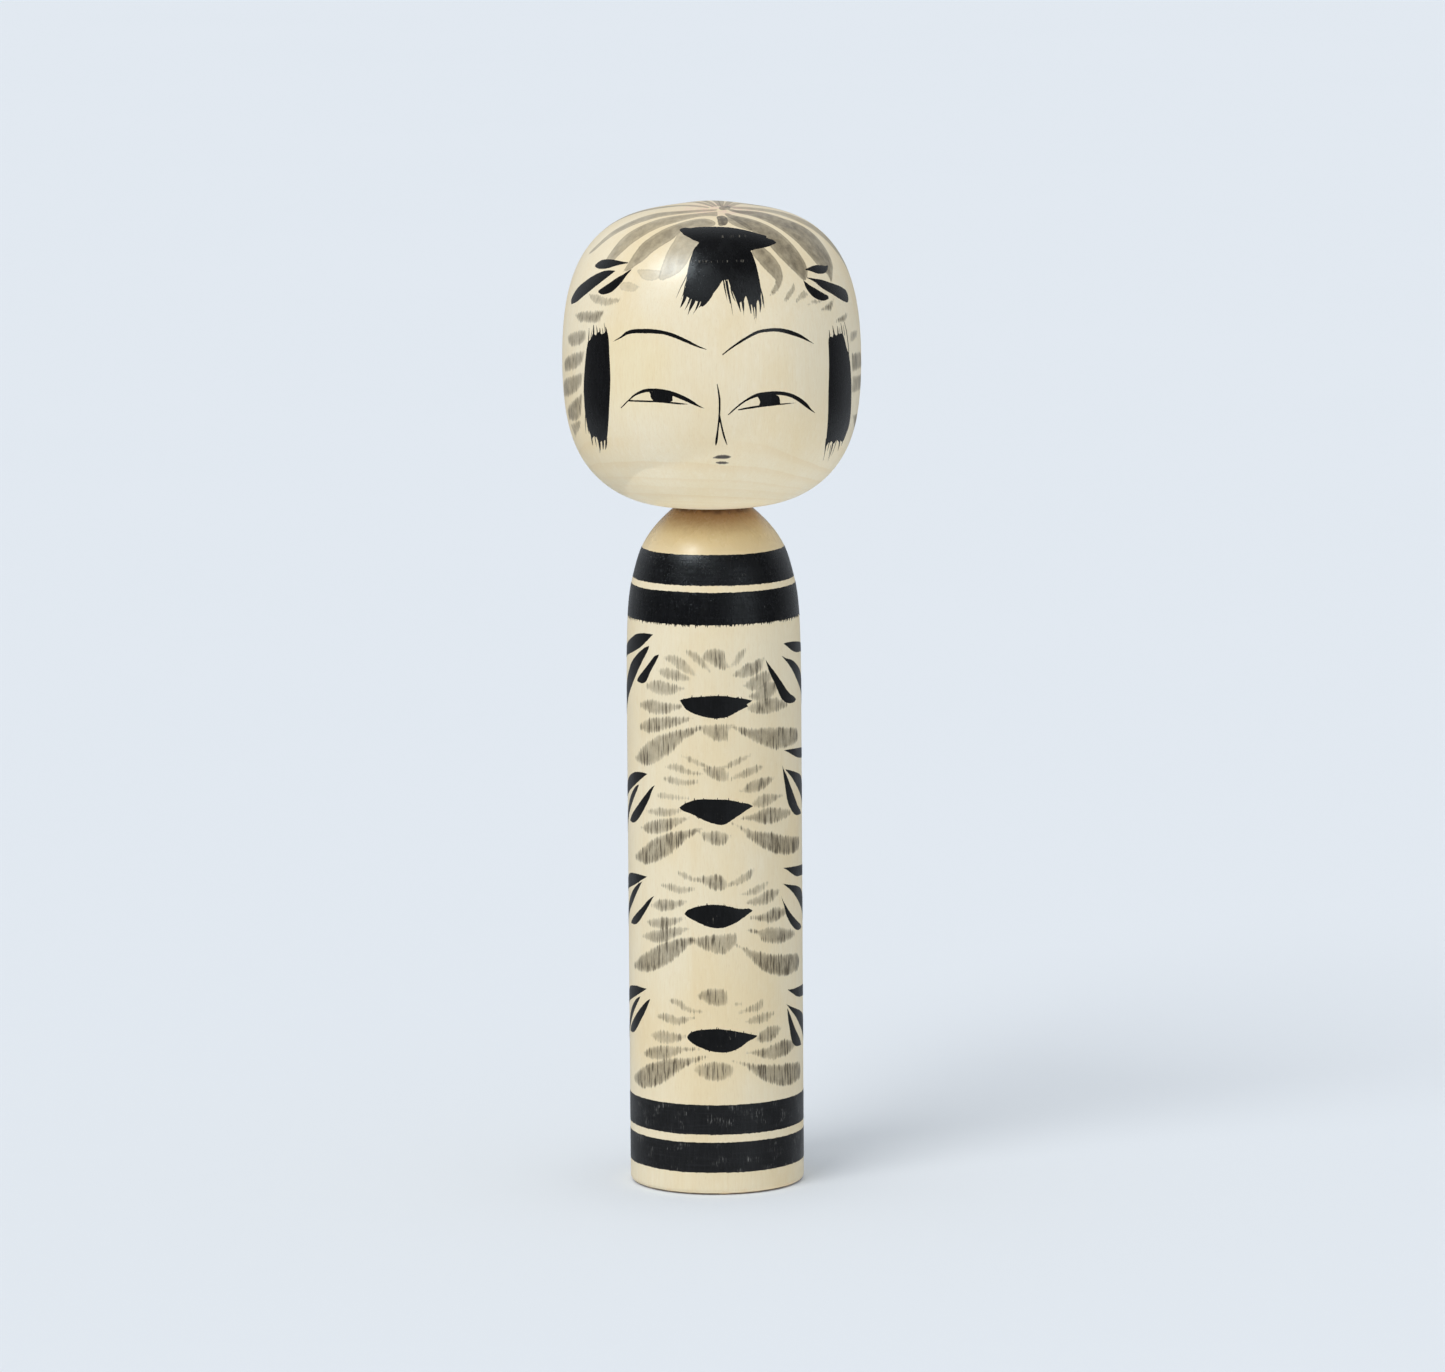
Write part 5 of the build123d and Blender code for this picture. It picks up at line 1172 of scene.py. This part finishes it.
def ink_material(name, black, bare, streak_scale, cover, roughness, specular=0.5, lathe=0.6, relief=0.45, rows=(), soft=None):
    """Brushed black ink under wax: dense, with small misses on the grain where the brush jumped."""
    N = Nodes(name)
    P = N.place_mm()
    x, y, z = N.split(P)
    miss = N.noise(N.vec("MULTIPLY", P, streak_scale), 1.0, 2.0, 0.6)
    patch = N.noise(N.vec("MULTIPLY", P, (0.35, 0.35, 0.50)), 1.0, 2.0, 0.5)
    open_ = N.math("MULTIPLY", N.step(miss, cover, cover + 0.06), N.step(patch, 0.50, 0.66))
    thick = N.noise(N.vec("MULTIPLY", P, (3.4, 3.4, 0.35)), 1.0, 3.0, 0.6)
    sweep = N.noise(N.vec("MULTIPLY", P, (0.12, 0.12, 3.2)), 1.0, 2.0, 0.6)
    thin = (black[0] * 1.8 + 0.002, black[1] * 1.8 + 0.002, black[2] * 1.8 + 0.003)
    col = N.mix(N.math("MULTIPLY", N.step(thick, 0.40, 0.78), 0.8), black, thin)
    col = N.mix(N.math("MULTIPLY", N.step(sweep, 0.52, 0.72), lathe * 0.5), col, thin)
    col = N.mix(N.math("MULTIPLY", open_, 0.55), col, bare)
    if soft is not None:
        col = N.mix(N.step(N.attribute("depth"), 0.0, soft[0]), soft[1], col)
    if rows:
        # the brush ran drier at the right-hand tips of the fringe and down the side locks
        dry = N.math("MULTIPLY", N.step(z, 170.5, 166.5), N.step(z, 160.5, 162.5))
        dry = N.math("MULTIPLY", dry, N.math("MULTIPLY", N.step(x, 1.5, 6.0), N.step(x, 15.0, 13.0)))
        low = N.math("MULTIPLY", N.step(z, 146.0, 138.0), N.step(N.math("ABSOLUTE", x), 17.0, 19.0))
        dry = N.math("MULTIPLY", N.math("MAXIMUM", dry, low), N.step(thick, 0.25, 0.70, 0.45, 1.0))
        col = N.mix(dry, col, (0.022, 0.023, 0.024))
    # rows of pin-prick misses where a chatter line on the wood held the brush off
    for level, lo, hi, seed in rows:
        along = N.noise(N.join(N.math("MULTIPLY", x, 2.9), N.math("MULTIPLY", y, 0.3), N.math("MULTIPLY_ADD", z, 0.5, seed)), 1.0, 1.0, 0.4)
        here = N.math("ABSOLUTE", N.math("SUBTRACT", N.math("ADD", z, N.math("MULTIPLY", N.math("SUBTRACT", along, 0.5), 0.6)), level))
        dots = N.math("MULTIPLY", N.step(here, 0.26, 0.10), N.step(along, 0.56, 0.66))
        dots = N.math("MULTIPLY", dots, N.math("MULTIPLY", N.step(x, lo, lo + 1.0), N.step(x, hi, hi - 1.0)))
        col = N.mix(N.math("MULTIPLY", dots, 0.38), col, bare)
    N.put(N.bsdf.inputs["Base Color"], col)
    marks = N.noise(N.join(0.2, 0.1, N.math("MULTIPLY", z, 2.6)), 1.0, 3.0, 0.7)
    grain = N.noise(N.vec("MULTIPLY", P, (5.5, 5.5, 0.5)), 1.0, 3.0, 0.6)
    pits = N.noise(N.vec("MULTIPLY", P, (4.0, 4.0, 2.5)), 1.0, 2.0, 0.6)
    height = N.math("ADD", N.math("MULTIPLY", marks, lathe), N.math("MULTIPLY", grain, 0.9))
    height = N.math("ADD", height, N.math("MULTIPLY", N.step(pits, 0.55, 0.75), -0.9))
    N.put(N.bsdf.inputs["Normal"], N.bump(height, relief, 0.00005))
    worn = N.noise(N.vec("MULTIPLY", P, (0.5, 0.5, 0.25)), 1.0, 3.0, 0.6)
    N.put(N.bsdf.inputs["Roughness"], N.step(worn, 0.3, 0.75, roughness - 0.04, roughness + 0.07))
    N.bsdf.inputs["Specular IOR Level"].default_value = specular
    return N.mat


WASH_DEPTH = 0.90
# (height, from x, to x, seed) of the two rows of misses across the fringe
ROWS = ((171.35, -6.5, 9.5, 0.3), (175.42, 0.0, 6.5, 4.1))
PALE = (0.825, 0.735, 0.535)
WARM = (0.805, 0.670, 0.425)
mat_head = wood_material("head_wood_waxed", (0.848, 0.756, 0.560), (0.824, 0.690, 0.448), 1.75, (-1.05, -3.2), 140.0, (0.0, 0.0, 0.0), True, 0.36, 0.40, 0.16, head=True)
mat_body = wood_material("body_wood_waxed", PALE, WARM, 2.3, (3.0, -6.0), 60.0, (41.0, 13.0, 57.0), True, 0.38, 0.20, 0.13)
mat_peg = wood_material("peg_wood_bare", (0.70, 0.56, 0.38), (0.62, 0.46, 0.28), 1.6, (6.0, 2.0), 120.0, (5.0, 90.0, 3.0), False, 0.6, 0.5, 0.5, head=False)
mat_ink_head = ink_material("ink_black_head", (0.0035, 0.0035, 0.0038), (0.30, 0.27, 0.22), (3.6, 3.6, 1.3), 0.72, 0.25, relief=0.20, rows=ROWS)
mat_ink_body = ink_material("ink_black_body", (0.0045, 0.0046, 0.0050), (0.34, 0.31, 0.26), (5.0, 5.0, 0.7), 0.68, 0.36)
mat_ink_band = ink_material("ink_black_bands", (0.0030, 0.0032, 0.0037), (0.26, 0.25, 0.22), (5.5, 5.5, 1.0), 0.67, 0.27, lathe=1.3, relief=0.75)
# the foot's rings: the same ink given a lighter black, a painted reflection of the lit table just below them, and more
# flecks of bare wood
mat_ink_foot_floor_sheen = ink_material("ink_black_foot_floor_sheen", (0.0105, 0.0108, 0.0115), (0.26, 0.255, 0.24), (6.6, 6.6, 0.55), 0.585, 0.34, lathe=1.3)
mat_mouth = ink_material("ink_grey_mouth", (0.070, 0.062, 0.054), (0.34, 0.29, 0.22), (4.0, 4.0, 1.2), 0.60, 0.40, soft=(0.26, (0.34, 0.29, 0.21)))


def give(ob, mat):
    ob.data.materials.clear()
    ob.data.materials.append(mat)


give(head_wood, mat_head)
give(body_wood, mat_body)
give(mouth, mat_mouth)
ON_HEAD = ("ink_brows", "ink_eyes", "ink_nose", "ink_fringe", "ink_sidelock_left", "ink_sidelock_right", "ink_hair_leaves")
for name, ob in inks.items():
    give(ob, mat_ink_head if name in ON_HEAD else mat_ink_foot_floor_sheen if name == "ink_base_bands" else mat_ink_band if name.endswith("bands") else mat_ink_body)

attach(head_wood, "head")
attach(body_wood, "body")
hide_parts("head")
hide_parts("body")
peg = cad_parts["neck_peg"]
for i in range(len(peg.material_slots)):
    peg.material_slots[i].material = mat_peg
if not peg.material_slots:
    peg.data.materials.append(mat_peg)

# ============================================================================================
# Floor and light: a pale seamless sweep, one large soft key from the upper left, soft fill
# ============================================================================================
floor_mesh = bpy.data.meshes.new("floor")
R = 9.0
floor_mesh.from_pydata([(-R, -R, 0), (R, -R, 0), (R, R, 0), (-R, R, 0)], [], [(0, 1, 2, 3)])
floor = bpy.data.objects.new("floor", floor_mesh)
scene.collection.objects.link(floor)
F = Nodes("paper_sweep")
fp = F.place_mm()
speck = F.noise(F.vec("MULTIPLY", fp, (0.004, 0.004, 0.004)), 1.0, 2.0, 0.5)
F.put(F.bsdf.inputs["Base Color"], F.mix(speck, (0.772, 0.815, 0.868), (0.782, 0.823, 0.875)))
F.bsdf.inputs["Roughness"].default_value = 0.9
F.bsdf.inputs["Specular IOR Level"].default_value = 0.0
give(floor, F.mat)
floor.visible_glossy = False

def soft_sun(name, azimuth, elevation, energy, spread, colour):
    """A distant light, azimuth degrees to the left of the front."""
    ob = bpy.data.objects.new(name, bpy.data.lights.new(name, "SUN"))
    scene.collection.objects.link(ob)
    ob.data.energy = energy
    ob.data.angle = math.radians(spread)
    ob.data.color = colour
    az, el = math.radians(azimuth), math.radians(elevation)
    toward = Vector((-math.sin(az) * math.cos(el), -math.cos(az) * math.cos(el), math.sin(el)))
    ob.rotation_mode = "QUATERNION"
    ob.rotation_quaternion = toward.to_track_quat("Z", "Y")
    ob.location = toward * 2
    return ob


key = soft_sun("key", 38, 44, 1.29, 32, (1.0, 0.985, 0.955))
key.visible_glossy = False
# the same lamp as gloss sees it: a smaller, brighter window
for name, az, el, energy, spread in (("key_gloss", 47, 51, 2.35, 16), ("fill_gloss", 6, 36, 0.12, 30), ("side_gloss", -42, 8, 0.22, 32)):
    gloss = soft_sun(name, az, el, energy, spread, (0.84, 0.94, 1.0))
    gloss.visible_diffuse = False
    gloss.data.use_shadow = name == "key_gloss"
# light thrown back up by the pale table in front
fill = soft_sun("fill", -30, -50, 0.98, 80, (1.0, 0.99, 0.97))
fill.visible_glossy = False
fill.data.use_shadow = False

world = bpy.data.worlds.new("studio")
scene.world = world
world.use_nodes = True
wn = world.node_tree
wn.nodes.clear()
w_out = wn.nodes.new("ShaderNodeOutputWorld")
w_path = wn.nodes.new("ShaderNodeLightPath")


def sky(colour, strength):
    n = wn.nodes.new("ShaderNodeBackground")
    n.inputs[0].default_value = (*colour, 1.0)
    n.inputs[1].default_value = strength
    return n.outputs[0]


def either(fac, a, b):
    n = wn.nodes.new("ShaderNodeMixShader")
    wn.links.new(fac, n.inputs[0])
    wn.links.new(a, n.inputs[1])
    wn.links.new(b, n.inputs[2])
    return n.outputs[0]


def world_step(value, lo, hi, a, b):
    n = wn.nodes.new("ShaderNodeMapRange")
    n.interpolation_type = "SMOOTHSTEP"
    wn.links.new(value, n.inputs[0])
    for i, v in enumerate((lo, hi, a, b)):
        n.inputs[i + 1].default_value = v
    return n.outputs[0]


# a bright tent for soft light, and the sweep's own colour beyond its edge. Gloss sees the room:
# dark behind the camera, the lit sweep below and behind the doll
way = wn.nodes.new("ShaderNodeTexCoord")
split = wn.nodes.new("ShaderNodeSeparateXYZ")
wn.links.new(way.outputs["Generated"], split.inputs[0])
back_wall = world_step(split.outputs[1], -0.10, 0.85, 0.0, 0.34)
below = world_step(split.outputs[2], 0.02, -0.22, 0.06, 0.09)
most = wn.nodes.new("ShaderNodeMath")
most.operation = "MAXIMUM"
upward = wn.nodes.new("ShaderNodeMath")
upward.operation = "MULTIPLY"
wn.links.new(back_wall, upward.inputs[0])
wn.links.new(world_step(split.outputs[2], 0.0, 0.5, 1.0, 2.4), upward.inputs[1])
wn.links.new(upward.outputs[0], most.inputs[0])
wn.links.new(below, most.inputs[1])
room = wn.nodes.new("ShaderNodeBackground")
room.inputs[0].default_value = (0.88, 0.94, 1.0, 1.0)
wn.links.new(most.outputs[0], room.inputs[1])
lit = either(w_path.outputs["Is Glossy Ray"], sky((0.94, 0.97, 1.0), 0.735), room.outputs[0])
wn.links.new(either(w_path.outputs["Is Camera Ray"], lit, sky((0.800, 0.845, 0.900), 1.0)), w_out.inputs[0])

scene.view_settings.view_transform = "Standard"
scene.view_settings.look = "None"
scene.view_settings.exposure = 0.0
scene.view_settings.gamma = 1.0
